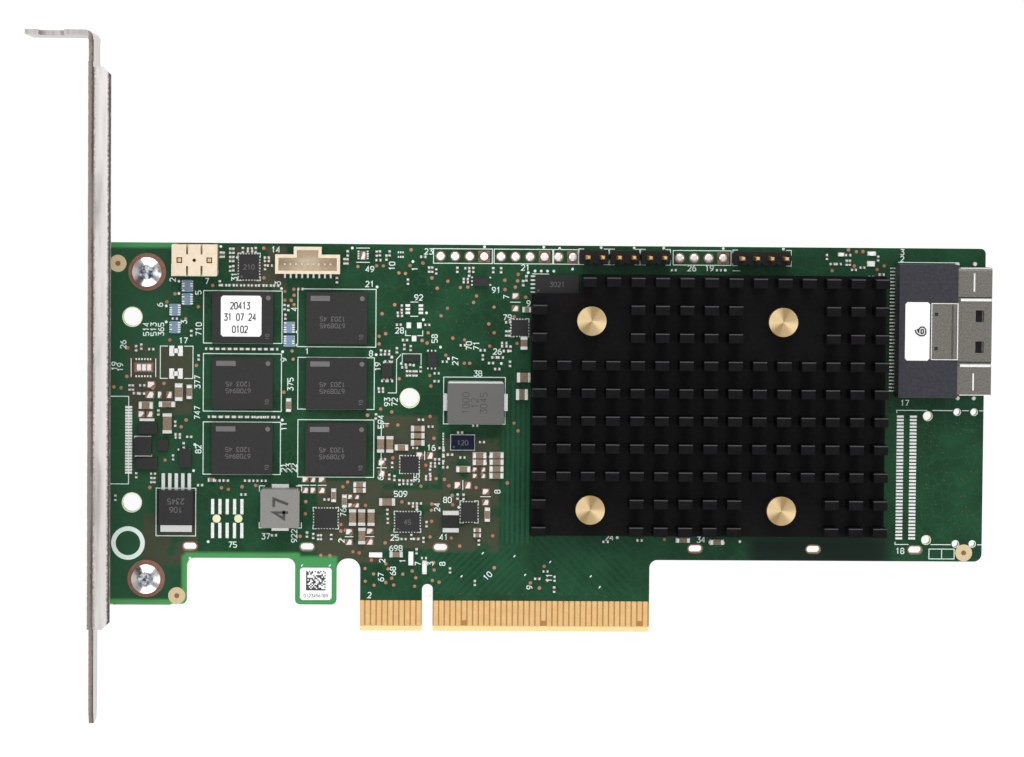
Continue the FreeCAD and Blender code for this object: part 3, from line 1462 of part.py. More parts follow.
def build_ceramics(table, upright):
    """Builds ceramic capacitors: returns their bodies and their metal ends."""
    bodies, ends = [], []
    for name, numbers in table.items():
        place(name, *numbers)
        x, y = d.get(name + "_x"), d.get(name + "_y")
        long, wide, tall = d.get(name + "_long"), d.get(name + "_wide"), d.get(name + "_tall")
        cap, proud = d.ceramic_end, d.ceramic_proud
        if upright:
            bodies.append(new_block("Box_" + name, x, y, proud, long - proud * 2, wide - cap * 2,
                                    tall - proud * 2))
        else:
            bodies.append(new_block("Box_" + name, x, y, proud, long - cap * 2, wide - proud * 2,
                                    tall - proud * 2))
        for sign in (1, -1):
            end_name = f"Box_{name}_end_{'plus' if sign > 0 else 'minus'}"
            if upright:
                shift = (wide - cap) / 2 * sign
                ends.append(new_block(end_name, x, y + shift, 0.0, long, cap, tall))
            else:
                shift = (long - cap) / 2 * sign
                ends.append(new_block(end_name, x + shift, y, 0.0, cap, wide, tall))
    return bodies, ends


def build_corner_chip():
    """The chip beside the heat sink's cut corner, with a row of leads at its left end."""
    keep(block_at("corner_chip"), "corner_chip_body")
    leads = new_body("corner_chip_leads")
    edge = d.corner_chip_x - d.corner_chip_long / 2
    count = how_many(d.corner_chip_wide - d.corner_lead, d.corner_lead_pitch)
    low = d.corner_chip_y - d.corner_lead_pitch * (count - 1) / 2
    sketch = new_sketch(leads, "corner_lead", "XY_Plane", x=edge, y=low)
    draw_box(sketch, -d.corner_lead_reach, -d.corner_lead / 2, 0.0, d.corner_lead / 2)
    feature = pad(leads, sketch, d.corner_lead)
    repeat(leads, feature, sketch, "V_Axis", d.corner_lead_pitch, count)


for chip_name, chip_numbers in LEADLESS_CHIPS.items():
    place(chip_name, *chip_numbers)
    keep(block_at(chip_name), chip_name)
place("corner_chip", *CORNER_CHIP)
build_corner_chip()
upright_bodies, upright_ends = build_ceramics(CERAMICS_UPRIGHT, True)
flat_bodies, flat_ends = build_ceramics(CERAMICS_FLAT, False)
new_group("ceramic_capacitors", upright_bodies + flat_bodies)
new_group("ceramic_capacitor_ends", upright_ends + flat_ends)
build_group("small_packages", SMALL_PACKAGES)
build_group("diodes", DIODES)
build_group("resistor_networks", RESISTOR_NETWORKS)
build_group("fuses", FUSES)


# ---------------------------------------------------------------------------------------------
# Check everything, then write one file for each sub-part
# ---------------------------------------------------------------------------------------------

doc.recompute()

failed = []
for item in doc.Objects:
    if "Invalid" in item.State or "Error" in item.State:
        failed.append(f"{item.Label}: {item.State}")
for label, item in LABELS:
    if item.Shape.isNull() or not item.Shape.isValid():
        failed.append(f"{label}: its shape is null or not valid")
    elif not item.Shape.Solids or item.Shape.Volume <= 0:
        failed.append(f"{label}: it holds no solid")
if failed:
    raise RuntimeError("These objects failed:\n" + "\n".join(failed))

os.makedirs("parts", exist_ok=True)
for label, item in LABELS:
    item.Shape.exportStep(f"parts/{label}.step")
print(f"wrote {len(LABELS)} sub-parts")
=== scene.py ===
"""Looks of the raid controller card: finishes, printing, solder and small parts.

The card's frame comes from its construction model. Everything here is in the same place: X runs
along the board away from the bracket, Y from the edge contacts to the long top edge, and Z out of
the component side. Sizes are in millimetres, and meshes and materials are in metres.
"""

import json
import logging
import math
from dataclasses import dataclass, field
from enum import Enum
from typing import Sequence

import bmesh
import bpy
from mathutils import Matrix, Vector


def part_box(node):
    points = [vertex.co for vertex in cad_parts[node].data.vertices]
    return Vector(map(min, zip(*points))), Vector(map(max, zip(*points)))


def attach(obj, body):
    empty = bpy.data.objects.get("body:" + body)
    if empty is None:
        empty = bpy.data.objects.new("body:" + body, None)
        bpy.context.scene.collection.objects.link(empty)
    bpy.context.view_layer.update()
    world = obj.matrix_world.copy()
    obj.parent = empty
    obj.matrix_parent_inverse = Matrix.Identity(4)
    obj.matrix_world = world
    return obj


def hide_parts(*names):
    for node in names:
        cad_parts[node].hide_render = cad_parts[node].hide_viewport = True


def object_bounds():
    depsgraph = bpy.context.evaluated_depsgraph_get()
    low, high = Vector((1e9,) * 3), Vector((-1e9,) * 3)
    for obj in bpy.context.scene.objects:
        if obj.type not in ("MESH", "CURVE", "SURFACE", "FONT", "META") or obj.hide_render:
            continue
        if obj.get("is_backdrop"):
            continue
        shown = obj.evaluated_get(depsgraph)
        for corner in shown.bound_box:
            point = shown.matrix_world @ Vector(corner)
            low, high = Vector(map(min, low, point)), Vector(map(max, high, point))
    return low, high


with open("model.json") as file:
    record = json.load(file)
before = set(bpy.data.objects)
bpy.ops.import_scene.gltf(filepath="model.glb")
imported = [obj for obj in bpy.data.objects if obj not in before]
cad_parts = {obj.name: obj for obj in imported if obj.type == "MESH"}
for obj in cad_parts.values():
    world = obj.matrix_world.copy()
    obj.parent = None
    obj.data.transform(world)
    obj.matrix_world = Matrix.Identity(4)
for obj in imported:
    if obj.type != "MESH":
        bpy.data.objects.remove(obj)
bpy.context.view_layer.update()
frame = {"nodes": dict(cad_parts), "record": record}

LOG = logging.getLogger("raid_card")
MM = 0.001
WHOLE = "root"

Color = tuple[float, float, float]
Spot = tuple[float, float]
Socket = bpy.types.NodeSocket


# ---------------------------------------------------------------------------------------------
# Node graphs
# ---------------------------------------------------------------------------------------------

@dataclass
class Graph:
    """A node tree being written; each method adds nodes and returns the socket they end in."""

    tree: bpy.types.NodeTree

    def add(self, kind: str, inputs: dict | None = None, output: int | str = 0,
            **settings: object) -> Socket:
        """Adds one node.

        Args:
            kind: The node's type name.
            inputs: Values or sockets by the input's name or number.
            output: The output wanted, by name or number.
            settings: Attributes of the node itself.

        Returns:
            The output socket asked for.
        """
        node = self.tree.nodes.new(kind)
        for name, value in settings.items():
            setattr(node, name, value)
        for key, value in (inputs or {}).items():
            if isinstance(value, Socket):
                self.tree.links.new(value, node.inputs[key])
            else:
                node.inputs[key].default_value = value
        return node.outputs[output]

    def place(self) -> Socket:
        """Returns the Object coordinates."""
        return self.add("ShaderNodeTexCoord", output="Object")

    def split(self, vector: Socket) -> tuple[Socket, Socket, Socket]:
        """Returns a vector's three numbers as sockets."""
        node = self.add("ShaderNodeSeparateXYZ", {"Vector": vector}).node
        return node.outputs[0], node.outputs[1], node.outputs[2]

    def math(self, operation: str, a: float | Socket, b: float | Socket = 0.0,
             c: float | Socket = 0.0, clamp: bool = False) -> Socket:
        """Returns one sum of up to three numbers."""
        return self.add("ShaderNodeMath", {0: a, 1: b, 2: c}, operation=operation, use_clamp=clamp)

    def noise(self, scale: float, detail: float = 3.0, place: Socket | None = None,
              rough: float = 0.55) -> Socket:
        """Returns noise from 0 to 1 with this many features in a metre."""
        return self.add("ShaderNodeTexNoise", {"Vector": place or self.place(), "Scale": scale,
                                               "Detail": detail, "Roughness": rough})

    def stretched(self, x: float, y: float, z: float) -> Socket:
        """Returns Object coordinates stretched by a factor along each axis."""
        return self.add("ShaderNodeMapping", {"Vector": self.place(), "Scale": (x, y, z)})

    def fit(self, value: Socket, low: float, high: float, out_low: float = 0.0,
            out_high: float = 1.0) -> Socket:
        """Maps a number from one range to another and holds it inside the new one."""
        return self.add("ShaderNodeMapRange", {"Value": value, "From Min": low, "From Max": high,
                                               "To Min": out_low, "To Max": out_high})

    def mix(self, factor: float | Socket, a: Color | Socket, b: Color | Socket) -> Socket:
        """Returns a mix of two colours."""
        return self.add("ShaderNodeMix", {0: factor, 6: rgba(a), 7: rgba(b)}, output=2,
                        data_type="RGBA")

    def bump(self, height: Socket, strength: float, distance: float) -> Socket:
        """Returns the surface normal raised by a height."""
        return self.add("ShaderNodeBump", {"Height": height, "Strength": strength,
                                           "Distance": distance})

    def box_mask(self, place: tuple[Socket, Socket], low: Spot, high: Spot, soft: float) -> Socket:
        """Returns 1 inside a rectangle and 0 outside it.

        Args:
            place: X and Y of the point, in metres.
            low: The rectangle's low corner, in millimetres.
            high: Its high corner, in millimetres.
            soft: Width of the edge, in millimetres.

        Returns:
            The mask's socket.
        """
        sides = []
        for axis in range(2):
            middle = (low[axis] + high[axis]) / 2 * MM
            half = (high[axis] - low[axis]) / 2 * MM
            off = self.math("ABSOLUTE", self.math("SUBTRACT", place[axis], middle))
            sides.append(self.fit(off, half + soft * MM / 2, half - soft * MM / 2))
        return self.math("MULTIPLY", sides[0], sides[1])


def rgba(value: Color | Socket) -> tuple | Socket:
    """Gives a colour its alpha, and leaves a socket as it is."""
    return value if isinstance(value, Socket) else (*value, 1.0)


# ---------------------------------------------------------------------------------------------
# Finishes
# ---------------------------------------------------------------------------------------------

class Direction(Enum):
    """The way that a brushed or rolled surface's marks run."""

    NONE = (1.0, 1.0, 1.0)
    ALONG_X = (0.06, 1.0, 1.0)
    ALONG_Y = (1.0, 0.06, 1.0)


@dataclass(frozen=True)
class Finish:
    """A surface of two close tones under fine noise, with a fine relief.

    Grain is in features to the metre and relief in millimetres. The marks say which way the noise
    is drawn out, and a higher contrast makes its edges harder.
    """

    name: str
    tone: Color
    other: Color
    rough: float = 0.5
    rough_spread: float = 0.1
    metal: float = 0.0
    grain: float = 900.0
    relief: float = 0.004
    contrast: float = 1.0
    marks: Direction = Direction.NONE
    coat: float = 0.0
    specular: float = 0.5

    def material(self) -> bpy.types.Material:
        """Makes this finish's material on its first use.

        Returns:
            The material.
        """
        label = self.name + "_finish"
        found = bpy.data.materials.get(label)
        if found:
            return found
        made = bpy.data.materials.new(label)
        made.use_nodes = True
        made.node_tree.nodes.clear()
        graph = Graph(made.node_tree)
        color, rough, normal = self.surface(graph)
        shader = graph.add("ShaderNodeBsdfPrincipled", {
            "Base Color": color, "Roughness": rough, "Normal": normal, "Metallic": self.metal,
            "Coat Weight": self.coat, "Coat Roughness": 0.12, "Specular IOR Level": self.specular})
        finish_output(graph, shader)
        made.diffuse_color = (*self.tone, 1.0)
        made.metallic, made.roughness = self.metal, self.rough
        return made

    def grain_noise(self, graph: Graph) -> Socket:
        """Returns the finish's own noise, drawn out along its marks."""
        return graph.noise(self.grain, 4.0, graph.stretched(*self.marks.value))

    def surface(self, graph: Graph) -> tuple[Socket, Socket, Socket]:
        """Writes the colour, roughness and normal.

        Args:
            graph: The material's graph.

        Returns:
            The three sockets.
        """
        noise = self.grain_noise(graph)
        half = 0.25 / self.contrast
        factor = graph.fit(noise, 0.5 - half, 0.5 + half)
        color = graph.mix(factor, self.tone, self.other)
        rough = graph.fit(noise, 0.3, 0.7, self.rough, min(1.0, self.rough + self.rough_spread))
        normal = graph.bump(noise, 0.6, self.relief * MM)
        return color, rough, normal


def finish_output(graph: Graph, shader: Socket) -> None:
    """Ends a material's graph in its shader."""
    output = graph.tree.nodes.new("ShaderNodeOutputMaterial")
    graph.tree.links.new(shader, output.inputs["Surface"])


@dataclass(frozen=True)
class MaskFinish(Finish):
    """Solder mask over copper: brownish pours, bundles of runs, pale zones and bare edges. Some
    zones are painted glow along backlit edges and one is painted shadow below the heat sink, and
    painted bounce light lightens the mask towards the bracket.

    A pour is two corners. A bundle is two corners, a slant, a pitch and how strong it shows. A
    zone is two corners, a tone and the width of its edge.
    """

    pour: Color = (0.050, 0.058, 0.034)
    edge: Color = (0.21, 0.36, 0.10)
    edge_pale: Color = (0.33, 0.43, 0.18)
    run: Color = (0.016, 0.105, 0.050)
    # Painted bounce light from the bracket: a lighter tone mixed in more and more towards -X.
    left: Color = (0.021, 0.080, 0.038)
    bounce_light_from: Spot = (-36.0, -54.0)
    pours: tuple[tuple[Spot, Spot], ...] = ()
    bundles: tuple[tuple[Spot, Spot, float, float, float], ...] = ()
    zones: tuple[tuple[Spot, Spot, Color, float], ...] = ()

    def surface(self, graph: Graph) -> tuple[Socket, Socket, Socket]:
        """Writes the mask's colour, roughness and normal.

        Args:
            graph: The material's graph.

        Returns:
            The three sockets.
        """
        x, y, _ = graph.split(graph.place())
        slow = graph.noise(140.0, 3.0)
        color = graph.mix(graph.fit(slow, 0.35, 0.65), self.tone, self.other)
        # Painted bounce light: the mask lightens towards the bracket.
        start, end = self.bounce_light_from
        color = graph.mix(graph.fit(x, start * MM, end * MM, 0.0, 0.8), color, self.left)
        wires = graph.add("ShaderNodeTexVoronoi", {"Vector": graph.stretched(1.0, 1.0, 0.0),
                                                   "Scale": 480.0}, output="Distance",
                          feature="DISTANCE_TO_EDGE")
        lines: Socket = graph.math("MULTIPLY", graph.fit(wires, 0.06, 0.0), 0.30)
        for low, high, slant, pitch, strong in self.bundles:
            across = graph.math("DIVIDE", graph.math("MULTIPLY_ADD", y, slant, x), pitch * MM)
            stripe = graph.fit(graph.math("PINGPONG", across, 0.5), 0.15, 0.29, 0.0, strong)
            band = graph.math("MULTIPLY", stripe, graph.box_mask((x, y), low, high, 0.6))
            lines = graph.math("MAXIMUM", lines, band)
        color = graph.mix(lines, color, self.run)
        covered: Socket | float = 0.0
        for low, high in self.pours:
            covered = graph.math("MAXIMUM", covered, graph.box_mask((x, y), low, high, 0.5))
        torn = graph.fit(graph.noise(260.0, 2.0), 0.36, 0.42)
        color = graph.mix(graph.math("MULTIPLY", covered, torn), color, self.pour)
        # The zones hold the contact strip's own tones, painted glow along backlit edges and painted
        # shadow below the heat sink.
        for low, high, tone, soft in self.zones:
            color = graph.mix(graph.box_mask((x, y), low, high, soft), color, tone)
        faces = graph.add("ShaderNodeNewGeometry", output="Normal")
        upright = graph.math("ABSOLUTE", graph.split(faces)[2])
        pale = graph.mix(graph.fit(slow, 0.4, 0.6), self.edge, self.edge_pale)
        color = graph.mix(graph.fit(upright, 0.6, 0.4), color, pale)
        fine = graph.noise(2600.0, 2.0)
        rough = graph.fit(fine, 0.3, 0.7, self.rough, self.rough + self.rough_spread)
        normal = graph.bump(graph.math("ADD", fine, lines), 0.5, self.relief * MM)
        return color, rough, normal


@dataclass(frozen=True)
class FoldedFinish(Finish):
    """Bracket steel: dull cut edges, a dark line of painted shade along the fold and a bright
    flange of painted highlight, ending in a dark edge of painted shade.

    Each band is how far it lies from the fold's outside, and its tone there; the bands past the cut
    edge are painted shade and painted highlight.
    """

    fold: float = -58.8
    bands: tuple[tuple[float, Color], ...] = (
        (0.00, (0.60, 0.56, 0.54)), (0.12, (0.36, 0.29, 0.24)), (0.55, (0.30, 0.24, 0.20)),
        (0.72, (0.10, 0.083, 0.07)), (0.98, (0.15, 0.135, 0.125)), (1.20, (0.55, 0.52, 0.50)),
        (1.42, (0.76, 0.73, 0.70)), (3.25, (0.84, 0.79, 0.765)), (3.42, (0.55, 0.49, 0.47)),
        (3.60, (0.10, 0.085, 0.08)), (3.82, (0.11, 0.10, 0.09)), (3.98, (0.35, 0.33, 0.31)))
    reach: float = 4.2
    torn: float = 0.6
    shade: Color = (0.30, 0.275, 0.26)

    def surface(self, graph: Graph) -> tuple[Socket, Socket, Socket]:
        """Writes the steel's colour, roughness and normal.

        Args:
            graph: The material's graph.

        Returns:
            The three sockets.
        """
        color, rough, normal = super().surface(graph)
        x = graph.split(graph.place())[0]
        grit = graph.noise(2400.0, 3.0)
        torn = graph.math("MULTIPLY_ADD", grit, self.torn * MM, x)
        start = (self.fold + self.torn / 2) * MM
        # Painted shade and painted highlight in bands across the fold and the flange's top.
        banded = graph.add("ShaderNodeValToRGB", {
            "Fac": graph.fit(torn, start, start + self.reach * MM)})
        ramp = banded.node.color_ramp
        for index, (off, tone) in enumerate(self.bands):
            stop = ramp.elements[index] if index < 2 else ramp.elements.new(off / self.reach)
            stop.position, stop.color = off / self.reach, (*tone, 1.0)
        streak = graph.noise(60.0, 3.0, graph.stretched(8.0, 1.0, 1.0))
        streaked = graph.fit(streak, 0.50, 0.66, 0.0, 0.55)
        inner = graph.fit(torn, start + 3.0 * MM, start + 2.0 * MM)
        banded = graph.mix(graph.math("MULTIPLY", streaked, inner), banded, self.shade)
        faces = graph.add("ShaderNodeNewGeometry", output="Normal")
        level = graph.fit(graph.split(faces)[2], 0.5, 0.8)
        inside = graph.fit(x, (self.fold - 0.3) * MM, (self.fold - 0.05) * MM)
        return graph.mix(graph.math("MULTIPLY", level, inside), color, banded), rough, normal


@dataclass(frozen=True)
class PinFinish(Finish):
    """Black finish of the heat sink, with a painted highlight along the far edge of every pin's
    top.
    """

    painted_edge_highlight: Color = (0.075, 0.073, 0.075)
    first_edge: float = 19.44
    pitch: float = 4.818
    band: float = 0.17
    top: float = 10.95

    def surface(self, graph: Graph) -> tuple[Socket, Socket, Socket]:
        """Writes the sink's colour, roughness and normal.

        Args:
            graph: The material's graph.

        Returns:
            The three sockets.
        """
        color, rough, normal = super().surface(graph)
        _, y, z = graph.split(graph.place())
        # Painted highlight along the far top edge of every pin.
        off = graph.math("SUBTRACT", y, (self.first_edge - self.band / 2) * MM)
        off = graph.math("WRAP", off, -self.pitch * MM / 2, self.pitch * MM / 2)
        near = graph.fit(graph.math("ABSOLUTE", off), self.band * MM * 0.7, self.band * MM * 0.4)
        high = graph.fit(z, self.top * MM, (self.top + 0.02) * MM)
        edge = graph.math("MULTIPLY", near, high)
        return graph.mix(edge, color, self.painted_edge_highlight), rough, normal


@dataclass(frozen=True)
class PressedFinish(Finish):
    """Pressed powder: the oblong inductor darker than the square one, with a bright far edge."""

    dark: Color = (0.085, 0.083, 0.079)
    dark_other: Color = (0.14, 0.137, 0.13)
    glint: Color = (0.62, 0.62, 0.60)
    dark_from: float = -5.0
    glint_box: tuple[Spot, Spot] = ((3.3, 43.98), (13.1, 44.3))

    def surface(self, graph: Graph) -> tuple[Socket, Socket, Socket]:
        """Writes the powder's colour, roughness and normal.

        Args:
            graph: The material's graph.

        Returns:
            The three sockets.
        """
        color, rough, normal = super().surface(graph)
        x, y, _ = graph.split(graph.place())
        right = graph.fit(x, self.dark_from * MM, (self.dark_from + 1.0) * MM)
        grained = graph.mix(self.grain_noise(graph), self.dark, self.dark_other)
        color = graph.mix(right, color, grained)
        edge = graph.box_mask((x, y), *self.glint_box, 0.05)
        return graph.mix(edge, color, self.glint), rough, normal


@dataclass(frozen=True)
class RecessFinish(Finish):
    """Bright plating that falls off to a dark blue of painted shade in the recesses of the two
    screws.
    """

    deep: Color = (0.045, 0.075, 0.13)
    middle: Spot = (-49.45, 62.95)
    apart: float = 53.9
    full: float = 1.05
    clear: float = 1.75

    def surface(self, graph: Graph) -> tuple[Socket, Socket, Socket]:
        """Writes the plating's colour, roughness and normal.

        Args:
            graph: The material's graph.

        Returns:
            The three sockets.
        """
        color, rough, normal = super().surface(graph)
        x, y, _ = graph.split(graph.place())
        aside = graph.math("SUBTRACT", x, self.middle[0] * MM)
        along = graph.math("SUBTRACT", y, self.middle[1] * MM)
        along = graph.math("WRAP", along, -self.apart * MM / 2, self.apart * MM / 2)
        off = graph.math("SQRT", graph.math("ADD", graph.math("MULTIPLY", aside, aside),
                                            graph.math("MULTIPLY", along, along)))
        # Painted shade: dark blue in each screw's recess.
        near = graph.fit(off, self.clear * MM, self.full * MM)
        torn = graph.fit(graph.noise(1000.0, 2.0), 0.62, 0.40)
        return graph.mix(graph.math("MULTIPLY", near, torn), color, self.deep), rough, normal


@dataclass(frozen=True)
class TurnedSheenFinish(Finish):
    """Brass heads faced on a lathe: painted highlight and shade in sectors round the four middles.
    """

    middle: Spot = (28.1, 22.3)
    pitch: Spot = (33.35, 32.9)
    sectors: float = 2.0
    phase: float = 0.8

    def surface(self, graph: Graph) -> tuple[Socket, Socket, Socket]:
        """Writes the turned brass.

        Args:
            graph: The material's graph.

        Returns:
            The three sockets.
        """
        x, y, _ = graph.split(graph.place())
        local = []
        for value, middle, pitch in zip((x, y), self.middle, self.pitch):
            off = graph.math("SUBTRACT", value, middle * MM)
            local.append(graph.math("WRAP", off, -pitch * MM / 2, pitch * MM / 2))
        angle = graph.math("ARCTAN2", local[1], local[0])
        wave = graph.math("COSINE", graph.math("MULTIPLY_ADD", angle, self.sectors, self.phase))
        second = graph.math("COSINE", graph.math("MULTIPLY_ADD", angle, self.sectors * 2 + 1, 2.1))
        both = graph.math("MULTIPLY_ADD", second, 0.35, wave)
        # Painted highlight and shade in bright and dark sectors round each head's middle.
        tone = graph.mix(graph.fit(both, -1.1, 1.1), self.tone, self.other)
        rough = graph.fit(both, -1.0, 1.0, self.rough, self.rough + self.rough_spread)
        normal = graph.bump(graph.noise(2400.0, 2.0), 0.4, self.relief * MM)
        return tone, rough, normal


class Paint:
    """The card's finishes, by the record's material slots and for the added pieces."""

    BOARD = MaskFinish("board_laminate", (0.007, 0.040, 0.015), (0.012, 0.064, 0.026), rough=0.30,
                       rough_spread=0.12, relief=0.006, specular=0.15,
                       pours=(((-50.0, 11.5), (-40.5, 20.5)), ((-19.5, 12.0), (-8.0, 26.5)),
                              ((-8.0, 26.0), (1.6, 38.0)), ((2.5, 14.0), (12.5, 34.0)),
                              ((-53.0, 38.0), (-41.5, 50.0)), ((-34.0, 59.5), (-25.0, 67.5)),
                              ((-8.0, 14.5), (2.5, 25.0))),
                       bundles=(((13.0, 15.5), (18.2, 44.0), 0.0, 0.9, 0.55),
                                ((-1.0, 6.5), (15.5, 15.5), -1.0, 1.4, 0.30),
                                ((19.0, 6.5), (36.0, 17.5), 1.0, 1.7, 0.22)),
                       zones=(((-12.6, -1.0), (46.6, 5.35), (0.42, 0.20, 0.065), 0.16),
                              ((-12.6, -1.0), (46.6, 0.95), (0.95, 0.72, 0.33), 0.16),
                              # Painted glow of the backlit board edges next to the bracket and
                              # along the tabs.
                              ((-57.6, 67.2), (-44.0, 68.6), (0.06, 0.28, 0.09), 0.5),
                              ((-57.6, 4.0), (-42.5, 5.4), (0.07, 0.30, 0.09), 0.5),
                              ((-43.2, 4.0), (-41.3, 13.2), (0.07, 0.30, 0.09), 0.6),
                              ((-42.7, 12.0), (-22.5, 13.7), (0.07, 0.30, 0.09), 0.6),
                              ((-24.0, 4.0), (-15.9, 13.1), (0.06, 0.28, 0.09), 0.6),
                              # Painted shadow of the heat sink on the board.
                              ((57.0, 12.0), (81.5, 17.0), (0.006, 0.018, 0.011), 2.4)))
    GOLD = Finish("gold_plating", (0.98, 0.60, 0.25), (1.0, 0.68, 0.32), rough=0.22,
                  rough_spread=0.14, metal=1.0, grain=700.0, relief=0.003)
    STEEL = FoldedFinish("bracket_steel", (0.46, 0.43, 0.41), (0.64, 0.605, 0.58), rough=0.32,
                         rough_spread=0.16, metal=1.0, grain=1700.0, relief=0.006,
                         marks=Direction.ALONG_Y)
    SCREW = RecessFinish("screw_steel", (0.80, 0.80, 0.81), (0.88, 0.88, 0.89), rough=0.12,
                         metal=1.0, relief=0.010)
    SINK = PinFinish("sink_black", (0.005, 0.0042, 0.0048), (0.0085, 0.0078, 0.0086), rough=0.45,
                     rough_spread=0.16, grain=1300.0, relief=0.010, specular=0.06)
    BRASS = TurnedSheenFinish("pin_brass", (0.46, 0.32, 0.15), (0.98, 0.74, 0.42), rough=0.26,
                         rough_spread=0.12, metal=1.0, relief=0.006)
    SPRING = Finish("spring_steel", (0.62, 0.62, 0.63), (0.74, 0.74, 0.75), rough=0.18, metal=1.0)
    GAP = Finish("gap_pad", (0.22, 0.22, 0.24), (0.28, 0.28, 0.30), rough=0.8)
    LID = Finish("lid_metal", (0.52, 0.52, 0.53), (0.62, 0.62, 0.62), rough=0.35, metal=1.0,
                 marks=Direction.ALONG_X)
    SUBSTRATE = Finish("substrate_green", (0.010, 0.060, 0.030), (0.016, 0.085, 0.042), rough=0.4)
    CHIP = Finish("chip_black", (0.026, 0.025, 0.0245), (0.038, 0.0365, 0.036), rough=0.52,
                  rough_spread=0.12, grain=5200.0, relief=0.010, specular=0.14)
    LABEL = Finish("label_white", (0.90, 0.90, 0.89), (0.97, 0.97, 0.96), rough=0.55,
                   grain=2400.0)
    HOUSING = Finish("connector_dark", (0.016, 0.0165, 0.023), (0.032, 0.033, 0.042), rough=0.42,
                     rough_spread=0.14, grain=1900.0, relief=0.008, contrast=1.4, specular=0.35)
    SHELL = Finish("connector_metal", (0.125, 0.117, 0.10), (0.25, 0.238, 0.213), rough=0.38,
                   rough_spread=0.14, metal=0.9, grain=3600.0, relief=0.010, contrast=1.1)
    TIN = Finish("tin_plating", (0.78, 0.77, 0.75), (0.88, 0.87, 0.85), rough=0.20,
                 rough_spread=0.14, metal=1.0, grain=2600.0, relief=0.02)
    CREAM = Finish("socket_cream", (0.72, 0.60, 0.44), (0.80, 0.69, 0.53), rough=0.42,
                   rough_spread=0.12, grain=1500.0, relief=0.006)
    HEADER = Finish("header_black", (0.007, 0.0065, 0.007), (0.013, 0.012, 0.013), rough=0.5,
                    rough_spread=0.15, grain=2800.0, relief=0.012, specular=0.2)
    INDUCTOR = PressedFinish("inductor_grey", (0.19, 0.185, 0.170), (0.26, 0.25, 0.23),
                             rough=0.6, rough_spread=0.15, grain=4200.0, relief=0.014)
    CHOKE = Finish("choke_black", (0.010, 0.009, 0.010), (0.018, 0.017, 0.018), specular=0.25)
    CERAMIC = Finish("ceramic_brown", (0.17, 0.115, 0.072), (0.27, 0.195, 0.125), rough=0.45,
                     grain=2600.0, relief=0.006)
    NETWORK = Finish("network_blue", (0.13, 0.21, 0.31), (0.21, 0.31, 0.42), rough=0.4,
                     grain=3800.0)
    FUSE = Finish("fuse_white", (0.80, 0.80, 0.78), (0.90, 0.90, 0.88), rough=0.45)
    CLOCK = Finish("clock_blue", (0.005, 0.007, 0.020), (0.010, 0.013, 0.034), rough=0.34,
                   rough_spread=0.12, grain=2600.0, specular=0.12)
    SILK = Finish("print_white", (0.66, 0.80, 0.72), (0.80, 0.90, 0.84), rough=0.6,
                  grain=5200.0, contrast=0.8)
    COPPER = Finish("copper_finish", (0.22, 0.10, 0.07), (0.34, 0.165, 0.115), rough=0.34,
                    rough_spread=0.14, metal=0.55, grain=2100.0, relief=0.008)
    BARE = Finish("bare_laminate", (0.58, 0.45, 0.24), (0.68, 0.55, 0.33), grain=2600.0)
    SOLDER = Finish("solder_bright", (0.84, 0.83, 0.80), (0.96, 0.95, 0.93), rough=0.16,
                    rough_spread=0.16, metal=0.40, grain=1500.0, relief=0.03)
    PASTE = Finish("part_ends", (0.80, 0.79, 0.76), (0.92, 0.91, 0.88), rough=0.32,
                   rough_spread=0.16, metal=0.75, grain=2600.0)
    PART = Finish("part_body", (0.030, 0.028, 0.028), (0.16, 0.115, 0.085), grain=420.0,
                  contrast=3.0)
    MARK = Finish("chip_marking", (0.115, 0.112, 0.110), (0.150, 0.146, 0.143), rough=0.6,
                  grain=5200.0)
    INK = Finish("label_ink", (0.035, 0.034, 0.034), (0.060, 0.058, 0.058), rough=0.6,
                 grain=3600.0)
    SPECK = Finish("via_speck", (0.075, 0.055, 0.030), (0.13, 0.07, 0.045), rough=0.45)
    RIM = Finish("hole_rim", (0.75, 0.74, 0.42), (0.86, 0.84, 0.56))
    VIA = Finish("via_cover", (0.36, 0.13, 0.07), (0.50, 0.21, 0.13), rough=0.42, grain=300.0,
                 contrast=2.0)
    STAMP = Finish("stamped_ink", (0.035, 0.034, 0.033), (0.065, 0.062, 0.06), rough=0.6)
    LAMP = Finish("lamp_white", (0.92, 0.92, 0.90), (1.0, 1.0, 0.99), rough=0.3)


NODE_FINISHES: dict[str, Finish] = {
    finish.name: finish for finish in (
        Paint.BOARD, Paint.GOLD, Paint.STEEL, Paint.SCREW, Paint.SINK, Paint.BRASS, Paint.SPRING,
        Paint.GAP, Paint.LID, Paint.SUBSTRATE, Paint.CHIP, Paint.LABEL, Paint.HOUSING, Paint.SHELL,
        Paint.TIN, Paint.CREAM, Paint.HEADER, Paint.INDUCTOR, Paint.CHOKE, Paint.CERAMIC,
        Paint.NETWORK, Paint.FUSE, Paint.CLOCK)}


# ---------------------------------------------------------------------------------------------
# Meshes
# ---------------------------------------------------------------------------------------------

def box_mm(node: str) -> tuple[Vector, Vector]:
    """Returns a CAD node's low and high corners in millimetres."""
    low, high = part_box(node)
    return low / MM, high / MM


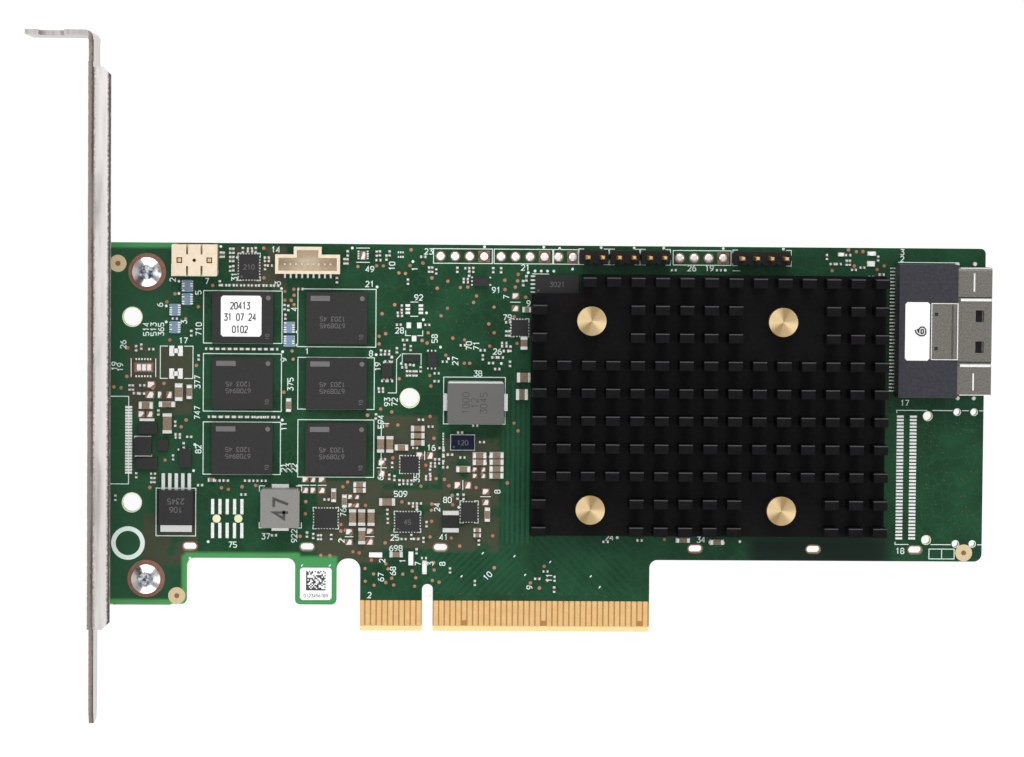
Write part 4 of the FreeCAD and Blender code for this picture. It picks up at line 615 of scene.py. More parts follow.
@dataclass
class Shape:
    """A mesh being gathered in millimetres, from closed solids with outward faces."""

    points: list[tuple[float, float, float]] = field(default_factory=list)
    faces: list[tuple[int, ...]] = field(default_factory=list)

    def prism(self, outline: Sequence[Spot], low: float, high: float, draw_in: float = 0.0) -> None:
        """Adds an upright prism.

        Args:
            outline: Its corners, anticlockwise seen from +Z.
            low: Its underside.
            high: Its top.
            draw_in: How far the top's corners lie inside the underside's, towards the middle.
        """
        count, first = len(outline), len(self.points)
        middle_x = sum(x for x, _ in outline) / count
        middle_y = sum(y for _, y in outline) / count
        for x, y in outline:
            self.points.append((x, y, low))
        for x, y in outline:
            away = math.hypot(x - middle_x, y - middle_y) or 1.0
            keep = max(0.0, 1.0 - draw_in / away)
            self.points.append((middle_x + (x - middle_x) * keep,
                                middle_y + (y - middle_y) * keep, high))
        self.faces.append(tuple(first + i for i in reversed(range(count))))
        self.faces.append(tuple(first + count + i for i in range(count)))
        for i in range(count):
            j = (i + 1) % count
            self.faces.append((first + i, first + j, first + count + j, first + count + i))

    def block(self, low: Spot, high: Spot, bottom: float, top: float, draw_in: float = 0.0) -> None:
        """Adds an upright block between two corners."""
        self.prism([low, (high[0], low[1]), high, (low[0], high[1])], bottom, top, draw_in)

    def bar(self, start: Spot, end: Spot, wide: float, bottom: float, top: float) -> None:
        """Adds a straight flat bar between two spots.

        Args:
            start: Middle of its first end.
            end: Middle of its other end.
            wide: Its width.
            bottom: Its underside.
            top: Its top.
        """
        run = Vector((end[0] - start[0], end[1] - start[1]))
        if run.length < 1e-6:
            return
        run.normalize()
        side = Vector((-run.y, run.x)) * wide / 2
        self.prism([(start[0] - side.x, start[1] - side.y), (end[0] - side.x, end[1] - side.y),
                    (end[0] + side.x, end[1] + side.y), (start[0] + side.x, start[1] + side.y)],
                   bottom, top)

    def disc(self, middle: Spot, radius: float, bottom: float, top: float, sides: int = 12,
             draw_in: float = 0.0) -> None:
        """Adds an upright disc."""
        self.prism(ring_of(middle, radius, sides), bottom, top, draw_in)

    def ring(self, middle: Spot, inner: float, outer: float, bottom: float, top: float,
             sides: int = 24, squash: Spot = (0.0, 0.0)) -> None:
        """Adds a flat ring.

        Args:
            middle: Its centre.
            inner: Inner radius.
            outer: Outer radius.
            bottom: Its underside.
            top: Its top.
            sides: How many straight sides it has.
            squash: Half the length by which it is drawn out along X and Y, for an oblong.
        """
        first = len(self.points)
        for radius, level in ((outer, bottom), (outer, top), (inner, top), (inner, bottom)):
            for x, y in ring_of((0.0, 0.0), radius, sides, 0.5):
                shift_x = math.copysign(squash[0], x)
                shift_y = math.copysign(squash[1], y)
                self.points.append((middle[0] + x + shift_x, middle[1] + y + shift_y, level))
        for loop in range(4):
            following = (loop + 1) % 4
            for i in range(sides):
                j = (i + 1) % sides
                self.faces.append((first + loop * sides + i, first + loop * sides + j,
                                   first + following * sides + j, first + following * sides + i))

    def path(self, spots: Sequence[Spot], wide: float, bottom: float, top: float,
             closed: bool = False) -> None:
        """Adds a flat line with mitred corners along some spots.

        Args:
            spots: The spots, in order.
            wide: The line's width.
            bottom: Its underside.
            top: Its top.
            closed: Whether it runs back from the last spot to the first.
        """
        count = len(spots)
        left, right = [], []
        for i, spot in enumerate(spots):
            here = Vector(spot)
            before = Vector(spots[i - 1]) if i or closed else None
            after = Vector(spots[(i + 1) % count]) if i < count - 1 or closed else None
            way_in = (here - before).normalized() if before is not None else None
            way_out = (after - here).normalized() if after is not None else None
            way_in = way_in or way_out
            way_out = way_out or way_in
            bisector = (way_in + way_out).normalized()
            side = Vector((-bisector.y, bisector.x))
            reach = wide / 2 / max(0.35, side.dot(Vector((-way_in.y, way_in.x))))
            left.append(tuple(here + side * reach))
            right.append(tuple(here - side * reach))
        last = count if closed else count - 1
        first = len(self.points)
        for level in (bottom, top):
            for line in (right, left):
                for x, y in line:
                    self.points.append((x, y, level))
        low_r, low_l, up_r, up_l = (first + count * k for k in range(4))
        for i in range(last):
            j = (i + 1) % count
            self.faces.append((up_r + i, up_r + j, up_l + j, up_l + i))
            self.faces.append((low_r + i, low_l + i, low_l + j, low_r + j))
            self.faces.append((low_r + i, low_r + j, up_r + j, up_r + i))
            self.faces.append((low_l + j, low_l + i, up_l + i, up_l + j))
        if not closed:
            end = count - 1
            self.faces.append((low_r, up_r, up_l, low_l))
            self.faces.append((low_r + end, low_l + end, up_l + end, up_r + end))

    def mesh(self, name: str) -> bpy.types.Mesh:
        """Turns what is gathered into a mesh in metres.

        Args:
            name: The mesh's name.

        Returns:
            The mesh.
        """
        made = bpy.data.meshes.new(name)
        made.from_pydata([tuple(v * MM for v in point) for point in self.points], [], self.faces)
        made.validate()
        return made


def ring_of(middle: Spot, radius: float, sides: int, start: float = 0.0) -> list[Spot]:
    """Returns the corners of a regular outline, anticlockwise."""
    turns = [2 * math.pi * (i + start) / sides for i in range(sides)]
    return [(middle[0] + radius * math.cos(t), middle[1] + radius * math.sin(t)) for t in turns]


def settle(piece: bpy.types.Object, finish: Finish) -> bpy.types.Object:
    """Gives a piece its finish and its body, and reports it.

    Args:
        piece: The piece, with its place in its mesh.
        finish: What it is finished with.

    Returns:
        The piece.
    """
    piece.data.materials.clear()
    piece.data.materials.append(finish.material())
    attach(piece, WHOLE)
    LOG.info("%s: %d faces", piece.name, len(piece.data.polygons))
    return piece


def add_piece(name: str, mesh: bpy.types.Mesh, finish: Finish) -> bpy.types.Object:
    """Adds a finished piece from a mesh.

    Args:
        name: The piece's name.
        mesh: Its mesh, in place.
        finish: What it is finished with.

    Returns:
        The piece.
    """
    piece = bpy.data.objects.new(name, mesh)
    bpy.context.scene.collection.objects.link(piece)
    return settle(piece, finish)


def smooth(piece: bpy.types.Object, degrees: float = 35.0) -> None:
    """Shades a piece smoothly across edges that turn less than an angle.

    Args:
        piece: The piece.
        degrees: The angle.
    """
    mesh = piece.data
    mesh.polygons.foreach_set("use_smooth", [True] * len(mesh.polygons))
    mesh.update()
    work = bmesh.new()
    work.from_mesh(mesh)
    for edge in work.edges:
        if len(edge.link_faces) == 2 and edge.calc_face_angle(0.0) > math.radians(degrees):
            edge.smooth = False
    work.to_mesh(mesh)
    work.free()


# ---------------------------------------------------------------------------------------------
# Geometry Nodes
# ---------------------------------------------------------------------------------------------

@dataclass
class Tree:
    """A Geometry Nodes tree being written, with named inputs."""

    name: str
    group: bpy.types.NodeTree = field(init=False)
    graph: Graph = field(init=False)
    entry: bpy.types.Node = field(init=False)
    exit: bpy.types.Node = field(init=False)
    values: dict[str, object] = field(default_factory=dict)
    sockets: dict[str, str] = field(default_factory=dict)

    def __post_init__(self) -> None:
        """Makes the empty tree with its geometry output."""
        self.group = bpy.data.node_groups.new(self.name, "GeometryNodeTree")
        for way in ("OUTPUT", "INPUT"):
            self.group.interface.new_socket("Geometry", in_out=way,
                                            socket_type="NodeSocketGeometry")
        self.graph = Graph(self.group)
        self.entry = self.group.nodes.new("NodeGroupInput")
        self.exit = self.group.nodes.new("NodeGroupOutput")

    def input(self, name: str, kind: str, value: object) -> Socket:
        """Adds a named input and returns its socket inside the tree.

        Args:
            name: The input's name.
            kind: Its socket type, such as Float, Int, Vector, Object or Material.
            value: Its value.

        Returns:
            The socket to wire from.
        """
        made = self.group.interface.new_socket(name, in_out="INPUT",
                                               socket_type=f"NodeSocket{kind}")
        self.values[name] = value
        self.sockets[name] = made.identifier
        return self.entry.outputs[name]

    def finish(self, geometry: Socket, finish: Finish) -> None:
        """Ends the tree in Realize Instances and Set Material.

        Args:
            geometry: The instances that the tree has made.
            finish: What they are finished with.
        """
        material = self.input("Finish", "Material", finish.material())
        real = self.graph.add("GeometryNodeRealizeInstances", {"Geometry": geometry})
        dressed = self.graph.add("GeometryNodeSetMaterial",
                                 {"Geometry": real, "Material": material})
        self.group.links.new(dressed, self.exit.inputs[0])

    def bake(self, seed_mesh: bpy.types.Mesh | None = None) -> bpy.types.Mesh:
        """Runs the tree once and returns the plain mesh that it makes.

        Args:
            seed_mesh: The mesh that the tree is given, or None for an empty one.

        Returns:
            The finished mesh.
        """
        holder = bpy.data.objects.new(self.name, seed_mesh or bpy.data.meshes.new(self.name))
        bpy.context.scene.collection.objects.link(holder)
        modifier = holder.modifiers.new(self.name, "NODES")
        modifier.node_group = self.group
        for name, identifier in self.sockets.items():
            modifier[identifier] = self.values[name]
        bpy.context.view_layer.update()
        evaluated = holder.evaluated_get(bpy.context.evaluated_depsgraph_get())
        mesh = bpy.data.meshes.new_from_object(evaluated)
        holder.modifiers.remove(modifier)
        bpy.data.objects.remove(holder)
        return mesh


@dataclass(frozen=True)
class Row:
    """A straight row of spots: its first spot, the step to the next, how many, and their turn."""

    start: Spot
    step: Spot
    count: int
    turn: float = 0.0


@dataclass
class Repeat:
    """One small shape repeated at many spots, each with its own size and turn."""

    name: str
    shape: Shape
    finish: Finish
    slot: str
    spots: list[tuple[float, float, float]] = field(default_factory=list)
    level: float = 0.0
    spread: float = 0.0
    seed: int = 7

    def at(self, x: float, y: float, turn: float = 0.0) -> None:
        """Adds one spot, turned by some degrees."""
        self.spots.append((x, y, turn))

    def row(self, row: Row) -> None:
        """Adds a straight row of spots."""
        for i in range(row.count):
            self.at(row.start[0] + row.step[0] * i, row.start[1] + row.step[1] * i, row.turn)

    def build(self) -> bpy.types.Object:
        """Instances the shape on every spot.

        Returns:
            The finished piece.
        """
        label = self.name + "_single"
        single = bpy.data.objects.new(label, self.shape.mesh(label))
        bpy.context.scene.collection.objects.link(single)
        seeds = bpy.data.meshes.new(self.name + "_spots")
        seeds.from_pydata([(x * MM, y * MM, self.level * MM) for x, y, _ in self.spots], [], [])
        turns = seeds.attributes.new("turn", "FLOAT", "POINT")
        turns.data.foreach_set("value", [math.radians(turn) for _, _, turn in self.spots])
        tree = Tree(self.name + "_tree")
        graph = tree.graph
        shape = tree.input("Shape", "Object", single)
        spread = tree.input("Spread", "Float", self.spread)
        seed = tree.input("Seed", "Int", self.seed)
        one = graph.add("GeometryNodeObjectInfo", {"Object": shape}, output="Geometry",
                        transform_space="ORIGINAL")
        turn = graph.add("GeometryNodeInputNamedAttribute", {"Name": "turn"}, output="Attribute",
                         data_type="FLOAT")
        spin = graph.add("ShaderNodeCombineXYZ", {"Z": turn})
        low = graph.math("SUBTRACT", 1.0, spread)
        size = graph.add("FunctionNodeRandomValue", {2: low, 3: 1.0, "Seed": seed}, output=1,
                         data_type="FLOAT")
        rotation = graph.add("FunctionNodeEulerToRotation", {"Euler": spin})
        placed = graph.add("GeometryNodeInstanceOnPoints", {
            "Points": tree.entry.outputs[0], "Instance": one, "Rotation": rotation, "Scale": size})
        tree.finish(placed, self.finish)
        mesh = tree.bake(seeds)
        bpy.data.objects.remove(single)
        mesh.name = self.name
        return add_piece(self.name, mesh, self.finish)


# ---------------------------------------------------------------------------------------------
# Spots on the board, in millimetres
#
# VIA_SPOTS, FLAT_PARTS and UPRIGHT_PARTS are tables made by another program, which found
# the spots, rounded them to 0.05 and printed them. Six of the flat ones were then taken out,
# and the rest stand as printed. PRINTED_NUMBERS was typed in one by one.
# ---------------------------------------------------------------------------------------------

VIA_SPOTS: tuple[Spot, ...] = (
    (-55.2, 42.75), (-53.95, 42.6), (-52.95, 44.6), (-52.8, 49.6), (-48.85, 25.1), (-48.4, 42.6),
    (-46.45, 43.4), (-46.2, 29.95), (-46, 57.7), (-45.45, 51.05), (-44.6, 59.15), (-43.4, 35.8),
    (-42.7, 54.75), (-42.55, 37), (-40.8, 46.6), (-40.5, 56.9), (-38, 60.65), (-36.3, 25.1),
    (-35.1, 24.85), (-32.7, 25.3), (-30.3, 25.55), (-29.1, 67.25), (-29.05, 62.05), (-25.45, 42),
    (-25.35, 58.15), (-25.35, 59.7), (-24.25, 58.15), (-24.05, 49.25), (-23.85, 47.8),
    (-23.8, 60.1), (-23.75, 57.4), (-23.75, 59.05), (-22.45, 16.65), (-21.55, 20.6),
    (-21.5, 22.75), (-18.8, 13.3), (-17.2, 13.25), (-16.6, 23.85), (-15.35, 16.15),
    (-15.3, 18.75), (-15.3, 17.6), (-15, 25.4), (-14.5, 17.75), (-14.15, 26.25), (-13.5, 17.1),
    (-13.15, 13.95), (-12.95, 22.1), (-12.6, 64.15), (-12.05, 13.75), (-11, 11), (-11, 22.15),
    (-10.95, 8.75), (-10.75, 38.05), (-9.9, 16.15), (-9.9, 12.5), (-9.5, 10.05), (-9.4, 8.05),
    (-9.3, 64.3), (-8.8, 50.6), (-8.8, 51.95), (-8.45, 39.15), (-8.3, 55.9), (-8.15, 64.3),
    (-7.65, 52.4), (-7.5, 15.55), (-7.35, 8.55), (-7.35, 11.85), (-7.35, 36.25), (-6.95, 10.95),
    (-6.5, 38.65), (-6.3, 9.3), (-6.25, 30.55), (-6.1, 57.5), (-5.95, 8.1), (-5.4, 36.35),
    (-5.4, 63.1), (-5.2, 44.5), (-4.7, 32.15), (-4.6, 22.8), (-4.35, 10.05), (-4.25, 63),
    (-3.45, 64.4), (-3.3, 67.15), (-2.7, 10.6), (-2.25, 7.9), (-2.05, 9.4), (-1.25, 51.25),
    (-1.25, 25.6), (-1.2, 64.85), (-1.1, 31.1), (-0.45, 29.3), (-0.35, 50.8), (-0.2, 52.6),
    (0.15, 45.1), (0.25, 37.9), (0.35, 43.25), (0.4, 16.65), (0.4, 62.25), (0.6, 21.35),
    (0.65, 22.45), (0.65, 19.4), (0.85, 8.95), (0.95, 34.05), (1.05, 12.1), (1.15, 10.8),
    (1.35, 60.45), (1.4, 26.95), (2.05, 8.65), (2.05, 55.6), (2.85, 26.8), (2.95, 48.7),
    (3.15, 56.95), (3.2, 61.7), (3.65, 25.7), (4.15, 16.45), (4.15, 51.7), (4.25, 24),
    (4.35, 22.35), (5.4, 60.6), (5.65, 15.05), (6.2, 47.3), (6.2, 51.4), (6.7, 60.7),
    (7.15, 47.3), (7.75, 58), (7.95, 28.4), (8.25, 59.15), (8.45, 25.4), (9.5, 27.8),
    (10.45, 54.25), (10.65, 50.35), (11.35, 57.2), (11.4, 52.7), (11.45, 16.9), (11.75, 11.25),
    (13.2, 61.95), (13.25, 60.3), (13.95, 26.25), (14.9, 55.55), (15.05, 36.8), (15.05, 60.75),
    (15.45, 50.85), (15.45, 61.85), (15.55, 63), (15.75, 35.45), (16.85, 56.75), (16.9, 59),
    (18.15, 8.6), (19.75, 7.7), (20.55, 11.55), (21.1, 9.1), (41.75, 16.4), (70.85, 64.05),
    (73.7, 67.75), (74.75, 64.9), (75.1, 67.4), (76.25, 67.45), (78.8, 64.3), (80.05, 64.95),
)
FLAT_PARTS: tuple[Spot, ...] = (
    (-51.35, 41.65), (-50.3, 41.6), (-50.25, 43.05), (-48.7, 49.4), (-48.3, 27.55), (-44.6, 54.8),
    (-44, 34.45), (-44, 33.9), (-42, 34.05), (-40.05, 25.55), (-38, 26.4), (-32.45, 23.95),
    (-31.5, 67.15), (-31.5, 66.65), (-29.75, 37.55), (-28.6, 37.6), (-28.55, 65), (-28.55, 65.6),
    (-28, 64.2), (-27.05, 16.8), (-22.65, 60.15), (-17.85, 23.15), (-9, 65.3),
    (-8.45, 42.75), (-8.4, 42.2), (-7.95, 30.3), (-7.85, 44.1), (-7.4, 48.8), (-7.35, 49.35),
    (-7.3, 47.5), (-6.85, 44.1), (-5.35, 54), (-5.2, 56.1), (-5.15, 55.55), (-4.35, 46.5),
    (-4.25, 16.25), (-4.25, 51.3), (-4, 26), (-4, 26.55), (-3.7, 47), (-3, 22.55), (-2.35, 32.35),
    (-2.3, 22), (-2.05, 16.3), (-1.6, 22.55), (-1.35, 37.3), (-1.15, 65.95), (-0.65, 12.9),
    (-0.35, 54), (0, 26.8), (0, 27.35), (0.35, 36.1), (0.8, 29.65), (0.8, 29.1), (1.35, 44.1),
    (1.35, 45.5), (1.55, 30.35), (2.25, 29.65), (2.3, 32.35), (2.75, 47.55), (3, 28.95),
    (3.8, 31.2), (5.55, 35.1), (5.9, 50.45), (6, 30.7), (6.35, 61.55), (6.35, 62.1), (6.6, 64),
    (8.2, 36.35), (8.75, 17), (8.75, 17.95), (9.4, 49.6), (9.4, 33.45), (9.75, 29.7),
    (10.45, 30.85), (10.9, 47.35), (11.5, 48.35), (12, 46.3), (12.6, 48.35), (13.2, 50.35),
    (13.2, 50.9), (13.5, 49.5), (13.85, 54.55), (19.35, 9.35), (20.8, 10.65), (31.35, 15.95),
    (37.35, 16.25), (42.9, 63.9), (50.15, 16), (50.85, 63.95), (51.8, 15.85), (73.65, 66.8),
    (74.7, 64.2),
)
UPRIGHT_PARTS: tuple[Spot, ...] = (
    (-54.9, 23.25), (-52.45, 42.65), (-51.9, 42.65), (-51.35, 49.55), (-51.25, 27.25),
    (-50.45, 49.85), (-48.6, 26.4), (-48.05, 26.4), (-47.4, 38.3), (-44.8, 30.4), (-44.45, 36.35),
    (-42.95, 32.55), (-41.7, 52.25), (-40.4, 48), (-36.75, 61.05), (-36.6, 66.05), (-36.1, 66.05),
    (-34.95, 63.6), (-34.95, 66.75), (-34.95, 65.3), (-34.4, 63.7), (-34.4, 65.3), (-34.4, 66.75),
    (-32.75, 66.9), (-30.5, 66.9), (-28.85, 63.9), (-25.4, 56.95), (-25.25, 55.25),
    (-24.75, 56.8), (-21.25, 16.95), (-20.15, 16.7), (-19.3, 16.5), (-18.8, 16.5), (-17, 16.55),
    (-16.25, 61.75), (-14.95, 65.05), (-14.45, 65.05), (-14.4, 66.45), (-9.3, 66.45),
    (-9.25, 37.85), (-8.75, 66.5), (-8.45, 49.1), (-7.6, 65.75), (-7.15, 21.05), (-7.05, 19.45),
    (-7.05, 66.5), (-6.85, 27.2), (-6.55, 47.85), (-6.35, 29.3), (-5.95, 27), (-5.65, 49.5),
    (-5.05, 26.25), (-4.85, 57), (-4.35, 50.1), (-3.85, 45.45), (-3.8, 61.55), (-3.3, 45.45),
    (-3.25, 49.9), (-2.95, 26.25), (-2.9, 16.65), (-2.7, 45.45), (-2.2, 45.45), (-1.95, 14.1),
    (-1.45, 46.2), (-0.75, 16.1), (-0.25, 18.9), (-0.1, 63.7), (0.3, 28.15), (0.45, 63.7),
    (1.15, 63.4), (2.65, 30.45), (2.65, 31.55), (3.95, 10.75), (4.85, 63.7), (5.2, 23.8),
    (6.25, 23.75), (6.95, 63.05), (7.65, 63.7), (8.35, 8.55), (9, 15.7), (9.45, 48.35),
    (11.15, 63.7), (12.55, 63.7), (13.55, 52.6), (14.1, 52.6), (14.25, 47.25), (14.3, 49.9),
    (16.45, 61.45), (17, 62.3), (22.35, 7.45), (22.4, 9.35), (69.9, 66.45), (73.4, 65.45),
    (73.95, 65.45), (78.95, 66.25),
)
PRINTED_NUMBERS: tuple[tuple[str, float, float, float], ...] = (
    ("2", -45, 61.6, 90), ("7", -39, 61.4, 0), ("5", -40.5, 59.4, 90), ("6", -47.2, 57.2, 90),
    ("3", -43, 54.2, 90), ("514", -49.6, 52.9, 90), ("513", -48.3, 52.9, 90),
    ("365", -47, 52.9, 90), ("17", -43.1, 50.95, 0), ("710", -40.4, 53, 90),
    ("26", -53.6, 50.2, 90), ("19", -55.1, 46.4, 90), ("19", -54.1, 46.2, 90),
    ("377", -40.6, 43.7, 90), ("31", -34.2, 62.2, 90), ("747", -40.6, 38.3, 90),
    ("3", -26.6, 61.1, 90), ("9", -25.5, 47.7, 90), ("375", -24.3, 43.4, 90), ("14", -27, 67, 0),
    ("4", -23.7, 56.6, 90), ("1", -21.4, 49.2, 0), ("21", -10.5, 61.1, 0), ("8", -10.2, 48.9, 0),
    ("49", -10.5, 63.7, 0), ("19", -9, 46.6, 90), ("11", -25.4, 36, 90), ("82", -40.4, 31.9, 90),
    ("21", -25.4, 28.7, 90), ("23", -24.5, 28.7, 90), ("22", -23.6, 28.7, 90),
    ("37", -28.5, 16.6, 0), ("75", -34.3, 15.1, 0), ("922", -23.5, 16.7, 90),
    ("594", -8.4, 36.9, 90), ("76", -14.9, 20.9, 90), ("2", -15.2, 15.9, 90), ("6", -8.4, 27, 90),
    ("509", -4.85, 24.2, 0), ("35", -2.05, 27, 90), ("16", 0.5, 32.4, 0), ("80", 3.4, 23.2, 0),
    ("24", 1.6, 21.9, 90), ("25", -5.8, 16.5, 0), ("41", 2.8, 16.6, 0), ("698", -5.6, 14.6, 0),
    ("8", 12.2, 24.7, 90), ("23", -0.2, 66.9, 0), ("10", -6.6, 64.3, 90), ("1", -2.6, 63.8, 90),
    ("92", -1.9, 58.8, 0), ("28", -5.2, 53, 0), ("58", 0.95, 51.6, 90), ("27", 4.6, 47.7, 90),
    ("70", 7, 50.4, 90), ("71", 8.3, 50.4, 90), ("91", 11.7, 60.2, 0), ("7", 13.5, 59, 90),
    ("79", 13.7, 55.4, 0), ("9", 17.4, 57.9, 0), ("26", 12, 49.4, 0), ("38", 8.6, 45.5, 0),
    ("21", 16.8, 64.2, 0), ("93", -7.3, 40.4, 90), ("72", -6, 40.4, 90), ("26", 46.1, 64.3, 0),
    ("19", 49.2, 64.3, 0), ("3", 83.2, 67.4, 0), ("2", 83.2, 66.2, 0), ("17", 84, 40.8, 0),
    ("18", 83.5, 14.6, 0), ("24", 32, 16.7, 0), ("34", 48.2, 16.4, 0), ("10", 10.6, 9.8, 45),
    ("9", 18, 7.8, 90), ("11", 21.5, 9.5, 90), ("7", -1.7, 11.9, 90), ("8", 2.6, 11.9, 90),
    ("2", -8, 12.4, 90), ("67", -8.2, 9.5, 90), ("68", -6.1, 10.6, 90), ("1", -4.4, 12.4, 90),
    ("3", 0.5, 11.9, 90), ("2", -10.2, 6.3, 0),
)


# ---------------------------------------------------------------------------------------------
# Printing and plating on the board
# ---------------------------------------------------------------------------------------------

class Layer(Enum):
    """Tops of the thin layers on the board, above its laminate, in millimetres."""

    BARE = 0.012
    COPPER = 0.020
    SILK = 0.030
    SOLDER = 0.090


STROKES: dict[str, tuple[tuple[Spot, ...], ...]] = {
    "0": (((0, .2), (0, .8), (.15, 1), (.45, 1), (.6, .8), (.6, .2), (.45, 0), (.15, 0), (0, .2)),),
    "1": (((.1, .8), (.32, 1), (.32, 0)),),
    "2": (((0, .82), (.15, 1), (.45, 1), (.6, .82), (.6, .62), (0, 0), (.6, 0)),),
    "3": (((0, 1), (.6, 1), (.3, .6), (.45, .6), (.6, .45), (.6, .15), (.45, 0), (.15, 0),
           (0, .15)),),
    "4": (((.45, 0), (.45, 1), (0, .3), (.6, .3)),),
    "5": (((.6, 1), (0, 1), (0, .55), (.45, .55), (.6, .4), (.6, .15), (.45, 0), (.15, 0),
           (0, .12)),),
    "6": (((.5, 1), (.2, .85), (0, .5), (0, .15), (.15, 0), (.45, 0), (.6, .15), (.6, .4),
           (.45, .55), (.12, .55), (0, .4)),),
    "7": (((0, 1), (.6, 1), (.2, 0)),),
    "8": (((.15, .53), (.03, .65), (.03, .87), (.15, 1), (.45, 1), (.57, .87), (.57, .65),
           (.45, .53), (.15, .53)),
          ((.15, .53), (0, .38), (0, .15), (.15, 0), (.45, 0), (.6, .15), (.6, .38), (.45, .53))),
    "9": (((.1, 0), (.4, .15), (.6, .5), (.6, .85), (.45, 1), (.15, 1), (0, .85), (0, .6),
           (.15, .45), (.48, .45), (.6, .6)),),
}


@dataclass
class Sheet(Shape):
    """Flat printing or plating of one thickness on a level face."""

    level: float = 0.0
    thick: float = Layer.SILK.value
    sink: float = 0.02

    def rect(self, x: float, y: float, long: float, deep: float) -> None:
        """Adds a rectangle about its middle."""
        self.block((x - long / 2, y - deep / 2), (x + long / 2, y + deep / 2),
                   self.level - self.sink, self.level + self.thick)

    def line(self, *spots: Spot, wide: float = 0.135, closed: bool = False) -> None:
        """Adds a line through some spots."""
        self.path(spots, wide, self.level - self.sink, self.level + self.thick, closed)

    def outline(self, low: Spot, high: Spot, wide: float = 0.135) -> None:
        """Adds a rectangle's outline."""
        self.line(low, (high[0], low[1]), high, (low[0], high[1]), wide=wide, closed=True)

    def corners(self, low: Spot, high: Spot, arm: float = 0.7, wide: float = 0.135) -> None:
        """Adds a rectangle's four corners with short arms.

        Args:
            low: The rectangle's low corner.
            high: Its high corner.
            arm: Length of the arms.
            wide: Width of the line.
        """
        for x, to_x in ((low[0], arm), (high[0], -arm)):
            for y, to_y in ((low[1], arm), (high[1], -arm)):
                self.line((x + to_x, y), (x, y), (x, y + to_y), wide=wide)

    def dot(self, x: float, y: float, radius: float = 0.25, sides: int = 10) -> None:
        """Adds a round dot."""
        self.disc((x, y), radius, self.level - self.sink, self.level + self.thick, sides)

    def hoop(self, x: float, y: float, inner: float, outer: float, squash: Spot = (0.0, 0.0),
             sides: int = 24) -> None:
        """Adds a flat ring round a hole."""
        self.ring((x, y), inner, outer, self.level - self.sink, self.level + self.thick, sides,
                  squash)

    def digits(self, text: str, x: float, y: float, turn: float = 0.0, tall: float = 0.95,
               wide: float = 0.15, narrow: float = 1.0) -> None:
        """Adds plain stroke digits.

        Args:
            text: The digits.
            x: Their middle.
            y: Their middle.
            turn: Degrees that they are turned by, anticlockwise.
            tall: Their height.
            wide: Width of the stroke.
            narrow: How wide a digit is, against its usual width.
        """
        pitch = 0.86 * tall * narrow
        cosine, sine = math.cos(math.radians(turn)), math.sin(math.radians(turn))
        for place, sign in enumerate(text):
            if sign not in STROKES:
                continue
            start = (place - (len(text) - 1) / 2) * pitch - 0.3 * tall * narrow
            for stroke in STROKES[sign]:
                flat = [(start + a * tall * narrow, (b - 0.5) * tall) for a, b in stroke]
                self.line(*[(x + a * cosine - b * sine, y + a * sine + b * cosine)
                            for a, b in flat], wide=wide)


